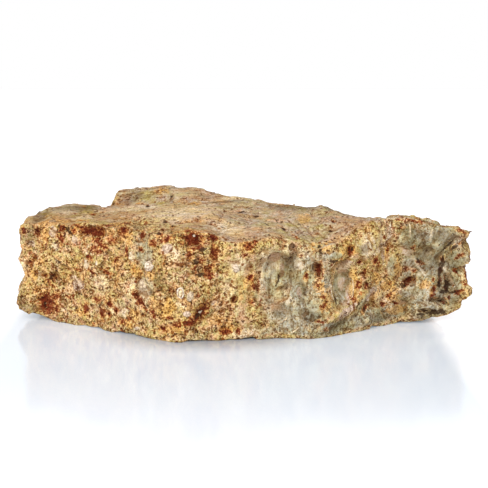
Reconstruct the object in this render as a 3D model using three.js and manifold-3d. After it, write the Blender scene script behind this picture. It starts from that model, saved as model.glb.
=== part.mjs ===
// A hand specimen of fossiliferous limestone: one broken slab of shelly, iron-stained rock.
// Millimetres, +Z up. The origin is on the resting plane, under the middle of the stone's box.
// Seen from the front (-Y), a rough face comes to a blunt nose left of the middle, the right
// half is hollowed and knobbly, and a higher lobe stands at the back on the left.

import * as THREE from "three";
import { ImprovedNoise } from "three/addons/math/ImprovedNoise.js";
import { mergeVertices } from "three/addons/utils/BufferGeometryUtils.js";
import Module from "manifold-3d";

const wasm = await Module();
wasm.setup();

// Driving dimensions
const LENGTH = 200;
const HALF = LENGTH / 2;
const NOSE_Y = -52.5; // the front nose, nearest to the viewer
const BACK_Y = 54; // the back of the rear lobe
const SOLE_DEPTH = 1.8; // how much the resting face trims off the underside
const LEFT_LIFT = 6; // how far the underside rises at the left end
const RIGHT_LIFT = 13.5; // and at the right end
const ARRIS_WEAR = 1.1; // how far the sharp edges are worn back
const COARSE = { size: 27, height: 1.5 }; // swells of the broken surface
const FINE = { size: 8.5, top: 0.7, sides: 2.1 }; // lumps on the upper surface and on the sides

// Cells of the surface along X, Y and Z, and how far the columns crowd to the hollowed half
const CELLS = { x: 62, y: 15, z: 15 };
const CROWDING = 0.075;

// Plan outline at half height, as four sides that meet at the corners
const CORNER = {
  leftFront: [-HALF + 2, -16],
  rightFront: [HALF - 3, -26],
  leftBack: [-90, 37],
  rightBack: [HALF - 10, 4],
};
const FRONT = [
  CORNER.leftFront,
  [-83, -20],
  [-60, -34],
  [-44, -44],
  [-29, NOSE_Y],
  [-12, NOSE_Y + 1],
  [8, -48],
  [24, -47],
  [36, -45],
  [50, -35],
  [66, -23],
  [82, -24],
  CORNER.rightFront,
];
const BACK = [
  CORNER.leftBack,
  [-76, 36],
  [-66, 37],
  [-60, 47],
  [-46, BACK_Y],
  [-20, BACK_Y - 1],
  [8, 47],
  [36, 36],
  [64, 20],
  CORNER.rightBack,
];
const LEFT = [CORNER.leftFront, [-HALF + 1, 2], [-97, 20], CORNER.leftBack];
const RIGHT = [CORNER.rightFront, [HALF - 2, -15], [HALF - 5, -5], CORNER.rightBack];

// Spot heights of the upper surface: x, y, z
const SPOT_HEIGHTS = [
  [-98, -12, 42.6],
  [-84, -17, 44],
  [-60, -33, 45.5],
  [-22, -48, 45.5],
  [-2, -49, 41],
  [10, -44, 43],
  [23, -47, 40],
  [33, -49, 38.5],
  [41, -44, 40.5],
  [50, -37, 45],
  [62, -21, 46],
  [71, -22, 47.4],
  [85, -24, 43.4],
  [97, -25, 41.5],
  [-96, 10, 43.8],
  [-90, 34, 44.5],
  [-76, 12, 44.2],
  [-66, 30, 44],
  [-40, 8, 46],
  [-15, -12, 47],
  [12, -20, 44.5],
  [-54, 44, 51],
  [-38, 44, 53],
  [-22, 40, 51.6],
  [-10, 32, 49.2],
  [3, 21, 48.6],
  [25, 5, 47.2],
  [46, -9, 45.3],
  [2, 46, 43],
  [38, 34, 38],
  [72, 14, 38],
  [92, 0, 37],
];
const SPOT_REACH = 6.5; // the radius over which a spot height rules

// Forms of the front: middle in X and Z, half width and half height, turn in degrees, and how
// far the form stands out, or in where it is negative
const FRONT_FORMS = [
  { at: [13, 25], half: [15, 13], turn: 0, out: -4.2 }, // broad scoop right of the nose
  { at: [41.5, 21.5], half: [5.2, 8], turn: 8, out: -4 }, // oval hollow with a smooth wall
  { at: [38, 33.5], half: [8, 2.4], turn: 0, out: 1.6 }, // ledge over the hollow
  { at: [35, 6.5], half: [13, 2.6], turn: 27, out: 2.4 }, // slanting rib under the hollow
  { at: [53, 38], half: [8, 7], turn: 0, out: 2 }, // boss under the skyline
  { at: [50, 20], half: [3, 9], turn: 0, out: 1.8 }, // pier right of the hollow
  { at: [62.5, 40], half: [1.9, 8], turn: 0, out: -2.4 }, // upright groove
  { at: [75, 31], half: [11, 6], turn: -6, out: -4.5 }, // overhung hollow
  { at: [76, 44.5], half: [9, 4], turn: -8, out: 1.4 }, // brow above it
  { at: [76, 17], half: [12, 8], turn: 0, out: 2.2 }, // swell below it
  { at: [87.5, 33.5], half: [1.9, 8.5], turn: -30, out: -3 }, // crevice by the right end
  { at: [86, 19], half: [2.8, 7], turn: 0, out: -2.6 }, // pitted zone that continues it
  { at: [-59, 43], half: [12, 1.9], turn: 2, out: -1.8 }, // recess under the upper edge
];

// Iron-stained vugs dissolved into the front: middle in X and Z, half width and half height,
// turn in degrees, and depth
const VUGS = [
  { at: [-86.7, 9.5], half: [4.2, 3.8], turn: 20, deep: 2.2 },
  { at: [-58, 33.5], half: [3, 1.6], turn: 15, deep: 1.4 },
  { at: [-41.5, 16], half: [1.3, 4.2], turn: 20, deep: 1.6 },
  { at: [-20.5, 42], half: [3.8, 3.2], turn: -20, deep: 2.6 },
  { at: [-19, 12.5], half: [1.9, 4.4], turn: -38, deep: 2.2 },
  { at: [-8, 4.5], half: [2.4, 1.6], turn: 0, deep: 1.4 },
  { at: [-3.5, 17], half: [2, 1.5], turn: 30, deep: 1.5 },
  { at: [6, 25.5], half: [1.6, 2.2], turn: 0, deep: 1.5 },
  { at: [20, 38], half: [1.5, 1.1], turn: 0, deep: 1.6 },
  { at: [30.6, 28], half: [1.9, 3.1], turn: 5, deep: 1.4 },
  { at: [70.5, 20], half: [2.6, 2], turn: 10, deep: 2 },
  { at: [82, 15.5], half: [1.8, 1.5], turn: 0, deep: 1.6 },
  { at: [86, 9.5], half: [2.6, 3.4], turn: -15, deep: 2.2 },
];

// Shells and shell fragments weathered out of the front, written like the vugs
const SHELLS = [
  { at: [-80, 39.5], half: [2.5, 1.8], turn: 10, out: 0.8 },
  { at: [-73, 18.8], half: [2.9, 3.1], turn: 0, out: 1 },
  { at: [-61.5, 29], half: [1.2, 1], turn: 0, out: 0.8 },
  { at: [-44.8, 33], half: [2.5, 1.8], turn: -20, out: 0.9 },
  { at: [-41.5, 23.5], half: [2, 2.8], turn: 12, out: 1 },
  { at: [-38.5, 30], half: [1.9, 1.8], turn: 0, out: 1.2 },
  { at: [-26, 19.5], half: [1.9, 2.6], turn: -15, out: 1.1 },
  { at: [-21.5, 19.5], half: [2.2, 1.6], turn: -25, out: 0.9 },
  { at: [-2.9, 30.3], half: [1.5, 1.4], turn: 0, out: 1 },
  { at: [15.5, 27.5], half: [2, 1.6], turn: 15, out: 1 },
  { at: [24.5, 12.5], half: [2, 1.7], turn: 0, out: 1 },
  { at: [53, 12], half: [1.8, 2.4], turn: 20, out: 1 },
];

// Knobs and notches: centre, radius and how far each stands out
const KNOBS = [
  { at: [-99, -20, 7], radius: 9, out: 4 }, // toe of the left end
  { at: [-98, -17, 26], radius: 8, out: -0.8 },
  { at: [HALF, -27, 42], radius: 4, out: 2.8 }, // sharp tip of the right end
  { at: [HALF - 1, -26, 35.5], radius: 3.4, out: -3.2 },
  { at: [HALF, -26, 30], radius: 4.5, out: 1.6 }, // knob under the tip
  { at: [HALF - 1, -26, 22.5], radius: 4, out: -2.8 },
  { at: [HALF, -27, 17], radius: 4.5, out: 1.8 }, // lower knob
];

// Old fracture planes that press the stone flat: a point, the way it faces and its reach
const FRACTURES = [
  { at: [-45, -40, 42], facing: [0.1, -0.75, 0.62], reach: 11 }, // chipped edge left of the nose
  { at: [-99, -12, 41.5], facing: [-0.75, -0.2, 0.6], reach: 9 },
  { at: [24, -45, 37], facing: [0.1, -0.8, 0.55], reach: 8 },
  { at: [-90, 34, 38], facing: [-0.6, 0.6, 0.5], reach: 16 },
  { at: [-62, 40, 40], facing: [-0.55, 0.75, 0.3], reach: 12 },
  { at: [-30, 52, 44], facing: [0.05, 0.85, 0.5], reach: 22 },
  { at: [30, 36, 36], facing: [0.35, 0.8, 0.45], reach: 24 },
  { at: [0, 48, 14], facing: [0.2, 0.9, -0.35], reach: 26 },
  { at: [76, 12, 32], facing: [0.5, 0.7, 0.5], reach: 18 },
  { at: [92, 0, 12], facing: [0.75, 0.5, -0.4], reach: 14 },
  { at: [-96, 22, 10], facing: [-0.85, 0.2, -0.45], reach: 16 },
];

const noise = new ImprovedNoise();

// Sum of octaves of smooth noise at a point, between about -1 and 1
function roughness(p, size, octaves, shift = 0) {
  let sum = 0;
  let total = 0;
  let weight = 1;
  let scale = 1 / size;
  for (let i = 0; i < octaves; i++) {
    const offset = shift + 17.3 * i;
    sum += weight * noise.noise(p.x * scale + offset, p.y * scale - offset, p.z * scale + offset);
    total += weight;
    weight *= 0.55;
    scale *= 1.97;
  }
  return sum / total;
}

function splineThrough(points) {
  return new THREE.SplineCurve(points.map(([x, y]) => new THREE.Vector2(x, y)));
}

const side = {
  front: splineThrough(FRONT),
  back: splineThrough(BACK),
  left: splineThrough(LEFT),
  right: splineThrough(RIGHT),
};
const corner = Object.fromEntries(
  Object.entries(CORNER).map(([name, [x, y]]) => [name, new THREE.Vector2(x, y)]),
);

// A Coons patch: the plan point at shares s along X and t along Y of the four sides
function planPoint(s, t) {
  const p = new THREE.Vector2()
    .addScaledVector(side.front.getPointAt(s), 1 - t)
    .addScaledVector(side.back.getPointAt(s), t)
    .addScaledVector(side.left.getPointAt(t), 1 - s)
    .addScaledVector(side.right.getPointAt(t), s);
  return p
    .addScaledVector(corner.leftFront, -(1 - s) * (1 - t))
    .addScaledVector(corner.rightFront, -s * (1 - t))
    .addScaledVector(corner.leftBack, -(1 - s) * t)
    .addScaledVector(corner.rightBack, -s * t);
}

// Height of the upper surface, blended from the spot heights
function topHeight(x, y) {
  let sum = 0;
  let total = 0;
  for (const [sx, sy, sz] of SPOT_HEIGHTS) {
    const weight = 1 / ((x - sx) ** 2 + (y - sy) ** 2 + SPOT_REACH ** 2) ** 2;
    sum += weight * sz;
    total += weight;
  }
  return sum / total;
}

// Height of the underside, which is flat in the middle and lifts at the two ends
function baseHeight(x) {
  const left = THREE.MathUtils.smoothstep(-x, 78, HALF);
  const right = THREE.MathUtils.smoothstep(x, 62, HALF + 4);
  return LEFT_LIFT * left + RIGHT_LIFT * right * right - SOLE_DEPTH;
}

// The smooth stone: where a point of the unit box lies
function stonePoint(unit) {
  const s = unit.x + CROWDING * Math.sin(Math.PI * unit.x) ** 2;
  const plan = planPoint(s, unit.y);
  const low = baseHeight(plan.x);
  const high = topHeight(plan.x, plan.y);
  return new THREE.Vector3(plan.x, plan.y, THREE.MathUtils.lerp(low, high, unit.z));
}

// A soft form's share at a point of the front: 1 in its middle and 0 well outside it
function frontShare(p, form) {
  const turn = THREE.MathUtils.degToRad(form.turn);
  const dx = p.x - form.at[0];
  const dz = p.z - form.at[1];
  const along = (dx * Math.cos(turn) + dz * Math.sin(turn)) / form.half[0];
  const across = (dz * Math.cos(turn) - dx * Math.sin(turn)) / form.half[1];
  return Math.exp(-((along * along + across * across) ** 1.5));
}

// How far the surface stands out from the smooth stone at a point with that outward direction
function relief(p, out) {
  const steep = 1 - Math.abs(out.z);
  const exposed = THREE.MathUtils.smoothstep(out.z, -0.95, -0.4);
  const creases = 0.35 - Math.abs(roughness(p, 2 * FINE.size, 2, 9));
  let height = COARSE.height * roughness(p, COARSE.size, 2);
  height += THREE.MathUtils.lerp(FINE.top, FINE.sides, steep) * roughness(p, FINE.size, 3, 5);
  height += 1.5 * steep * creases;
  const facesFront = THREE.MathUtils.smoothstep(-out.y, 0.15, 0.5);
  for (const form of FRONT_FORMS) height += facesFront * form.out * frontShare(p, form);
  for (const knob of KNOBS) {
    const away = Math.hypot(p.x - knob.at[0], p.y - knob.at[1], p.z - knob.at[2]) / knob.radius;
    height += knob.out * Math.exp(-away * away);
  }
  return height * exposed;
}

// Presses a point back on to each fracture plane that it lies beyond
function press(p) {
  for (const { at, facing, reach } of FRACTURES) {
    const normal = new THREE.Vector3(...facing).normalize();
    const away = p.clone().sub(new THREE.Vector3(...at));
    const beyond = away.dot(normal);
    const near = 1 - THREE.MathUtils.smoothstep(away.length(), 0.6 * reach, reach);
    if (beyond > 0) p.addScaledVector(normal, -beyond * near);
  }
  return p;
}

// A closed geometry with its equal corners merged
function welded(geometry) {
  const bare = geometry.clone();
  bare.deleteAttribute("normal");
  bare.deleteAttribute("uv");
  return mergeVertices(bare, 1e-4);
}

function onArris(unit) {
  const ends = [unit.x, unit.y, unit.z].filter((share) => share < 1e-6 || share > 1 - 1e-6);
  return ends.length > 1;
}

function stoneSurface() {
  const unitBox = new THREE.BoxGeometry(1, 1, 1, CELLS.x, CELLS.y, CELLS.z).translate(0.5, 0.5, 0.5);
  const surface = welded(unitBox);
  const place = surface.getAttribute("position");
  const p = new THREE.Vector3();
  const worn = [];
  for (let i = 0; i < place.count; i++) {
    p.fromBufferAttribute(place, i);
    worn.push(onArris(p) ? ARRIS_WEAR : 0);
    const q = stonePoint(p);
    place.setXYZ(i, q.x, q.y, q.z);
  }
  surface.computeVertexNormals();
  const outward = surface.getAttribute("normal");
  const n = new THREE.Vector3();
  for (let i = 0; i < place.count; i++) {
    p.fromBufferAttribute(place, i);
    n.fromBufferAttribute(outward, i);
    press(p.addScaledVector(n, relief(p, n) - worn[i]));
    place.setXYZ(i, p.x, p.y, p.z);
  }
  return surface;
}

function solidOf(geometry) {
  const merged = welded(geometry);
  return new wasm.Manifold(
    new wasm.Mesh({
      numProp: 3,
      vertProperties: new Float32Array(merged.getAttribute("position").array),
      triVerts: new Uint32Array(merged.index.array),
    }),
  );
}

function geometryOf(solid) {
  const mesh = solid.getMesh();
  return new THREE.BufferGeometry()
    .setAttribute("position", new THREE.BufferAttribute(new Float32Array(mesh.vertProperties), 3))
    .setIndex(new THREE.BufferAttribute(new Uint32Array(mesh.triVerts), 1));
}

// An uneven pebble: a faceted ball with its middle at a point, flattened along the way it faces
function pebble(at, facing, half, turn, thick) {
  const ball = new THREE.IcosahedronGeometry(1, 1);
  const place = ball.getAttribute("position");
  const p = new THREE.Vector3();
  for (let i = 0; i < place.count; i++) {
    p.fromBufferAttribute(place, i);
    p.multiplyScalar(1 + 0.5 * roughness(p.clone().add(at), 1.1, 1));
    place.setXYZ(i, p.x, p.y, p.z);
  }
  ball.scale(half[0], half[1], thick);
  ball.rotateZ(THREE.MathUtils.degToRad(-turn));
  ball.applyQuaternion(new THREE.Quaternion().setFromUnitVectors(new THREE.Vector3(0, 0, 1), facing));
  return ball.translate(at.x, at.y, at.z);
}

// Where a straight line along Y meets the front of the stone, and the way it faces there
function frontPoint(mesh, [x, z]) {
  const line = new THREE.Raycaster(new THREE.Vector3(x, -LENGTH, z), new THREE.Vector3(0, 1, 0));
  const hit = line.intersectObject(mesh)[0];
  return { at: hit.point, facing: hit.face.normal.clone() };
}

const surface = stoneSurface();
const stoneMesh = new THREE.Mesh(surface, new THREE.MeshBasicMaterial());
const ground = solidOf(new THREE.BoxGeometry(3 * LENGTH, 3 * LENGTH, 40).translate(0, 0, -20));
let slab = solidOf(surface).subtract(ground);
for (const { at, half, turn, deep } of VUGS) {
  const front = frontPoint(stoneMesh, at);
  slab = slab.subtract(solidOf(pebble(front.at, front.facing, half, turn, deep)));
}
for (const { at, half, turn, out } of SHELLS) {
  const front = frontPoint(stoneMesh, at);
  slab = slab.add(solidOf(pebble(front.at, front.facing, half, turn, out)));
}

const shape = geometryOf(slab);
shape.computeBoundingBox();
const middle = shape.boundingBox.getCenter(new THREE.Vector3());
shape.translate(-middle.x, -middle.y, 0);

const limestone = new THREE.MeshStandardMaterial({ color: 0xb59a68, roughness: 0.9, metalness: 0 });
const body = new THREE.Mesh(shape, limestone);
body.name = "limestone_slab";

const specimen = new THREE.Group();
specimen.add(body);

export default specimen;
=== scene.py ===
# The looks of a hand specimen of fossiliferous limestone: a broken, iron-stained slab of shelly
# rock with a grainy front, smooth grey hollows on the right and a paler bedding face on top.
# It is laid out as an add-on and run as a script. Everything is in metres, +Z up.
import math
import random
from collections import namedtuple
from itertools import starmap

import bmesh
import bpy
import numpy as np
from mathutils import Color, Matrix, Vector, noise


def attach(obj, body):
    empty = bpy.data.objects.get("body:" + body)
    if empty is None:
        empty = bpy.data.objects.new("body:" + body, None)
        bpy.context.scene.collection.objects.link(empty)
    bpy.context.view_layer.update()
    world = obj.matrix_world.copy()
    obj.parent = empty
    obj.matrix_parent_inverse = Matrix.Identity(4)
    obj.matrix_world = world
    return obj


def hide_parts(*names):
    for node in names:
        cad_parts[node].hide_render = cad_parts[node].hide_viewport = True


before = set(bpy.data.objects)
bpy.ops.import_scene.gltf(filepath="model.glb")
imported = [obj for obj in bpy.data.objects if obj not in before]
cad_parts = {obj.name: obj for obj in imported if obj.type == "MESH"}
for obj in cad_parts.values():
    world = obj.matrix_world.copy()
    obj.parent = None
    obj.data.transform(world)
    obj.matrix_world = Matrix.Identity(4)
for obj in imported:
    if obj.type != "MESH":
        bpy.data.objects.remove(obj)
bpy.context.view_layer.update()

bl_info = {
    "name": "Limestone specimen",
    "version": (1, 0, 0),
    "blender": (4, 5, 0),
    "location": "3D View > Sidebar > Specimen",
    "description": "Dresses a slab of fossiliferous limestone and sets it on a white studio table",
    "category": "Object",
}

NODE = "limestone_slab"
BODY = "root"
MM = 0.001

# Camera of the photograph: its place, its pitch and its lens
CAMERA_PLACE = (0.0005, -0.4719, 0.116)
CAMERA_PITCH = math.radians(10.2)
CAMERA_LENS = 77.8

# The sides on which stains and forms are placed: the two axes they are measured along, the
# axis they face and the way they face along it
SIDES = {
    "front": (0, 2, 1, -1), "back": (0, 2, 1, 1), "left": (1, 2, 0, -1), "right": (1, 2, 0, 1),
    "top": (0, 1, 2, 1), "bottom": (0, 1, 2, -1),
}

# Rows for stains and patches, in millimetres: where their middles lie as seen square to their side,
# their half widths and half heights, and their turn in degrees
Spot = namedtuple("Spot", "x z half_x half_z turn", defaults=(0,))
FRONT_SPOTS = {
    "iron": [
        (-86.2, 8, 4, 5), (-81.6, 12, 2, 1.6), (-81.4, 6.4, 1.4, 2.4, -10), (-83, 20, 1.5, 1.4),
        (-86.8, 20.8, 1.5, 0.8, 20), (-83.6, 16.6, 1.8, 0.9, -20), (-93.5, 26, 1.2, 1.3),
        (-91.3, 28.3, 0.9, 1.6, 20), (-96, 40, 1.4, 1.7), (-90, 39.5, 1.2, 2.2, 25),
        (-77.8, 42.2, 1.5, 2.2, -20), (-65.4, 41.6, 5, 2.2, -10), (-60, 37.4, 1.4, 1.8),
        (-60.4, 40.4, 1.8, 4.4), (-70, 43.6, 4.4, 0.9, -14), (-49.7, 44, 2, 2.2), (-54.5, 39.5, 2.6, 1.4, 25),
        (-61, 34, 3.4, 0.9, 10), (-65.3, 30.7, 1.2, 1.2), (-53, 31.5, 2.6, 0.8, 40), (-48.2, 35.5, 0.8, 2.4),
        (-78.3, 37.5, 0.9, 2.2), (-20, 42.4, 4.2, 3.8), (-12.1, 43.4, 2.6, 2.2), (-11.6, 36.6, 1.6, 3.6),
        (-21.5, 36.4, 1, 2.6), (-15.4, 29.4, 1, 1.6), (-17.4, 11.8, 1.9, 6, -40), (-62.5, 35.4, 3, 0.9, 20),
        (-58.6, 36.2, 2, 0.8, -15), (-72.7, 41.5, 1.2, 1.6), (-62.4, 40.6, 3.4, 1.9), (-61.4, 38.6, 2.2, 1.6),
        (-12.8, 31.5, 0.9, 2.4, -12), (-13.7, 27.3, 1.9, 1.4, 20), (-16.5, 33.6, 1.6, 1.2),
        (-28.9, 21.3, 1.2, 1.1), (-44.8, 18.4, 1.1, 2.2, -10), (-42.2, 14.8, 1.1, 3.8, 36),
        (-33.5, 44, 1.2, 1.4), (-31, 42.2, 3, 1, 30), (-27.5, 45, 2.2, 0.7), (-36.5, 40.5, 1.6, 1.6),
        (-41.5, 42, 1.2, 1.8), (-41.8, 36.8, 1.6, 1), (-67.5, 8.2, 1.3, 2.4), (-62.4, 12.9, 2, 1.3),
        (-56.4, 12, 2.4, 1.3, -35), (-60, 7, 1.3, 2.6), (-76.6, 12.4, 1, 0.7), (-73.8, 12.8, 0.8, 0.7),
        (-56.6, 7.2, 1, 1.3), (-53.5, 9.5, 1, 1.4), (-47.5, 6.8, 1.2, 0.9), (-50.5, 5.2, 1.6, 1.1),
        (-32.8, 4.8, 1.6, 1.2), (-26.8, 7.3, 2.2, 1.4), (-21.5, 8, 3, 1.5), (-23.3, 4.6, 1, 1.4),
        (-30, 9.8, 1.6, 0.9), (-36.8, 11, 1.3, 2.4, 30), (-3.6, 17.2, 1, 1.3), (-7, 3.6, 2.6, 1.1),
        (-1.8, 3.8, 1, 1.2), (-57, 25.5, 1.9, 1.1, -20), (-64, 25, 1.8, 0.9, -35), (-70.5, 24.8, 1.8, 0.7),
        (2.4, 38.6, 1.9, 1.5, 30), (5.2, 41, 1.9, 0.9, 35), (1.2, 35.5, 1.4, 0.7, 20), (3.2, 25.4, 1.6, 1.4),
        (6.4, 21.5, 0.8, 2.8), (4.4, 21.5, 1.2, 1.4), (3.5, 15.6, 1.2, 0.9), (31.5, 28.3, 1.9, 4, 5),
        (26.1, 25.8, 1, 1.9), (33.1, 17.6, 1.2, 0.9), (36.3, 19.4, 0.8, 0.8), (32.4, 13.4, 0.9, 1.1),
        (31.8, 7.4, 1.6, 0.8), (34.4, 4, 1.4, 1), (24, 34.5, 1, 0.8), (30.8, 22.4, 1.3, 1.2),
        (33.6, 13.8, 0.9, 2.4, -20), (49.3, 30, 1.2, 1.1), (56.6, 29.8, 1, 1.8, -20), (58, 27.5, 0.7, 1.6),
        (51.5, 25.2, 1, 1.4), (48.6, 20.5, 1.3, 2.2, -30), (52.5, 19.5, 1, 1), (51.7, 9.6, 0.9, 2.4, -25),
        (46.5, 14.5, 1.8, 0.9, -30), (45, 35.6, 1.5, 1.8), (60.5, 39.5, 0.6, 0.8),
        (62.3, 33.4, 0.6, 1.2, -20), (82.3, 20.1, 0.8, 0.8), (86.6, 28.4, 0.8, 1), (93.6, 31.2, 1.4, 0.9),
        (96, 18.4, 1.4, 0.9), (63.2, 13, 1.4, 0.9, 30), (60.3, 9.4, 1.2, 0.9), (66.8, 9.6, 1.4, 0.9),
        (71.3, 18.8, 3.2, 1.6, 38), (70.3, 24.4, 1.5, 1), (74, 23.6, 1.1, 0.9), (82.8, 16.3, 0.9, 1.4),
        (82, 13.2, 1.2, 1.2), (93.2, 15, 2.3, 0.9, 20), (92.3, 30.2, 1.4, 0.7, 35), (94, 41.6, 2.6, 1, -25),
        (74, 45.3, 3.2, 0.7, -12), (67, 46.7, 2.8, 0.8), (73.8, 33.6, 1, 1.4),
    ],
    "ochre": [
        (-87, 39.3, 1.9, 3.8), (-92.5, 21.5, 1.6, 2.6), (-72.7, 42, 1.4, 1.8), (-78.3, 36.5, 1.1, 2.8),
        (-48.6, 46, 2.2, 1), (-47.4, 39.8, 1.7, 2.2), (-56.3, 42, 2.8, 2.6), (-62, 39.5, 3.2, 1.2),
        (-20.9, 36, 1, 3.2), (-36.2, 15.3, 1.8, 3.4, 35), (-31, 11.5, 2.4, 2), (-29, 5.2, 4.5, 1.8),
        (-37.5, 27.3, 2, 2.2, 20), (-44, 27.5, 2, 3, 40), (-23.8, 17, 2.2, 0.9, -15), (0, 39.6, 2.4, 2),
        (2.4, 23.5, 2, 2.6), (-6, 5, 3, 1.4), (34.6, 38, 2.2, 1.6), (29, 38.2, 1.6, 1.2), (32, 21, 2.2, 2.6),
        (35.4, 16, 2, 4.4), (42.5, 35.8, 2, 2), (46.6, 24.3, 1.6, 3.6), (46.5, 17.5, 1.7, 3.4),
        (57, 22, 2.2, 2.6), (62, 17.8, 3.2, 2.6), (64.5, 12.6, 3, 2.2), (56, 14, 2.4, 2),
        (62.3, 33.8, 0.8, 2.8, -25), (81.5, 14.8, 1, 1.6), (-70, 6, 3.6, 1.4), (-49, 5, 3.6, 1.4),
        (-50.2, 41, 1.6, 1.2), (-86.4, 38, 1.8, 3.6), (-72.7, 42, 1.6, 1.6), (-48, 42, 1.6, 2.6),
        (35, 38.4, 1.8, 1.8), (-34, 16, 1.8, 2.4), (-31.6, 15, 4, 3), (67, 24, 1.4, 4), (66, 6.4, 4.4, 1.8),
        (79, 18, 2.4, 2), (-45, 9, 3, 2.4),
    ],
    # dark marks: painted shade in the holes, pits and cracks that the forms sink in, and a few dark brown
    # stains
    "dark": [
        (-16, 38.6, 1.7, 1.1, 20), (-28, 45.2, 1.9, 0.7), (-34, 44.2, 1.1, 0.8), (-19, 33.2, 1.4, 1.6),
        (-17.8, 27.6, 1.5, 0.7), (-18.4, 11, 0.7, 2.6, -38), (-79.5, 42.8, 0.7, 1),
        (-75.6, 41.2, 3.4, 0.5, -33), (-80.3, 27.5, 1.8, 0.6, -50), (-83.5, 20.3, 1, 0.9),
        (-85.3, 17, 0.9, 1), (20.7, 37.9, 0.7, 0.9), (37.3, 32.3, 3, 0.6, -8),
        (45.2, 36.2, 0.8, 1.2), (20.1, 34, 0.5, 2.4, -30), (14.6, 23.8, 0.5, 3.6, -14), (84.9, 18.2, 1, 1.5),
        (88.3, 18.6, 1.6, 0.7, -30), (88.5, 14.8, 1.3, 1), (85.8, 23.4, 0.9, 1.2), (90.8, 14.6, 1.8, 0.6, 20),
        (85.9, 10, 1.1, 0.7), (88.9, 9.6, 0.6, 1.2), (77.5, 4.6, 2.2, 0.6), (83.5, 5.6, 1.8, 0.7, 25),
        (88.6, 35, 0.6, 5.4, -37), (90.8, 34.3, 2, 0.6, 30), (86.6, 27, 0.8, 3.4, -8),
        (75.9, 27.8, 1.4, 0.5, -40), (69.5, 17.3, 1.2, 1.4), (-87.3, 8, 0.9, 0.9), (-19.8, 43.5, 0.7, 0.6),
        (85, 22.6, 0.8, 3, -8), (88.2, 21.6, 0.7, 2.4, 10), (84.6, 4.9, 5, 0.8, 4), (86.6, 14.6, 1.6, 1),
        (49, 12.6, 0.5, 2.6, -30), (51.5, 9, 0.6, 1.4), (38.5, 15.4, 0.5, 3, 20), (20.7, 37.5, 0.9, 1.1),
        (31.7, 37.3, 1, 1.3), (85.4, 17.6, 1, 1.2), (88.1, 17, 1.2, 1.4), (79.2, 6.1, 1.8, 0.8),
        (86.7, 5.5, 2.2, 0.9),
    ],
    "lilac": [
        (-82.3, 40, 2.3, 2.6), (-71, 18.4, 3.2, 3, 20), (-73, 20.8, 2, 1.6), (41.6, 27.8, 3.2, 2.8),
        (44.3, 16, 0.9, 4), (42.5, 9.3, 4, 2, 30), (-30.8, 38.6, 2.8, 1.9, 35), (-22.5, 11.5, 1.6, 1.3),
        (-12, 16.5, 1, 1.4, -38), (13, 33.6, 3, 2.6), (16.3, 28, 1.2, 2.8), (23.3, 19.5, 1.1, 2.4),
        (44, 30, 2, 1.4), (-38, 30.3, 1, 1), (41.6, 20.6, 1.6, 2.8), (58.6, 37, 1.2, 6), (60.3, 31, 0.8, 4),
        (54.6, 15.5, 1.8, 3.4, -40), (45, 10.8, 4.2, 1.4, 35), (72, 31.4, 3.2, 1.4), (-72, 37.6, 1.5, 2.2),
        (-92, 34.6, 1.4, 1.6), (68.5, 9.5, 2, 1.4),
    ],
    "pale": [
        (-46, 33.6, 1.8, 1.9), (-41, 22.2, 2, 2.9, -20), (-21.3, 19.3, 1.5, 2.5, -20), (45.6, 17.8, 0.8, 5),
        (23, 30.8, 2.4, 3.4), (25, 34.6, 3, 1.6, 20), (-66.6, 27.4, 1.3, 1.5), (-44.3, 3.4, 1.6, 1),
        (-89.3, 20.5, 0.9, 2.6, -15), (51, 35.6, 2, 3, 35), (63, 40.4, 0.7, 4.6), (76.5, 25.5, 1, 4.6, 36),
        (81, 40, 0.7, 3.2, -10), (89.2, 21.3, 0.7, 5.6, 30), (-48.5, 9, 2.4, 2.4), (-81.5, 34, 2.2, 1.4),
        (28.3, 33.2, 0.5, 1.4), (-2.6, 30.4, 2, 2.6), (18.5, 17, 1.6, 3.4), (49.6, 36, 6, 0.5, -50),
        (52.6, 38.6, 6, 0.5, -60), (55.4, 38, 6, 0.5, -68), (71.9, 41.5, 0.4, 3.6),
    ],
    "white": [(-61.7, 29.2, 0.6, 0.6), (-17.6, 11.7, 0.3, 1.4, -50)],
    "oxide": [
        (31.5, 28.3, 1.4, 3.4, 5), (44.6, 35.6, 1.2, 1.9, -20), (72.1, 18.7, 2.2, 1.5, 38),
        (57.2, 30, 0.8, 1.2, 30), (5, 39.9, 0.9, 0.8, 30), (5, 21.8, 0.7, 1.6, 15), (26.1, 25.8, 0.5, 1.2),
        (85.5, 19.8, 1.2, 1.5), (87.7, 16.4, 1.1, 1), (89.4, 12.2, 0.9, 0.8), (85.7, 24.1, 1, 1.4),
        (92.5, 15.3, 2, 0.8, 15), (87.7, 9.7, 1.2, 0.7, 20), (82.8, 15, 0.8, 1.2), (-86, 8.2, 3.7, 4.6),
        (-17.8, 11.4, 1.4, 4, -38), (-41.4, 14.6, 0.6, 3, 25), (-20.9, 43, 2.4, 2.8), (-12.2, 43.2, 1.2, 1.4),
        (-12.4, 37.3, 1, 2.2), (-17.4, 39.6, 2.6, 1.4), (-64.6, 41.8, 4.4, 1.7, -10), (-60.6, 39.4, 1.8, 2.2),
        (-49.7, 44.2, 1.3, 1.6), (-44.6, 18.2, 0.6, 1.6, -10), (-66.9, 8.6, 0.9, 2), (-60, 8.6, 0.9, 2.4),
    ],
    "calm": [
        (-1, 24, 7, 15), (-3, 30, 5, 6), (16, 22, 9, 13), (53, 37, 6, 6, 35), (24, 10, 12, 6), (76, 36, 9, 7),
        (75, 13, 5, 5), (41, 22, 5, 9),
    ],
    "grey": [
        (41, 21, 4.4, 8.2), (78, 31, 8.5, 4.4), (84, 36.5, 4.4, 6, -30), (72.5, 38.5, 6, 4.4),
        (14.5, 26, 7, 10), (22, 10, 11, 6), (64.5, 26, 2.2, 4.2), (86, 26, 2.4, 5), (58, 5.5, 14, 3.4),
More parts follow.
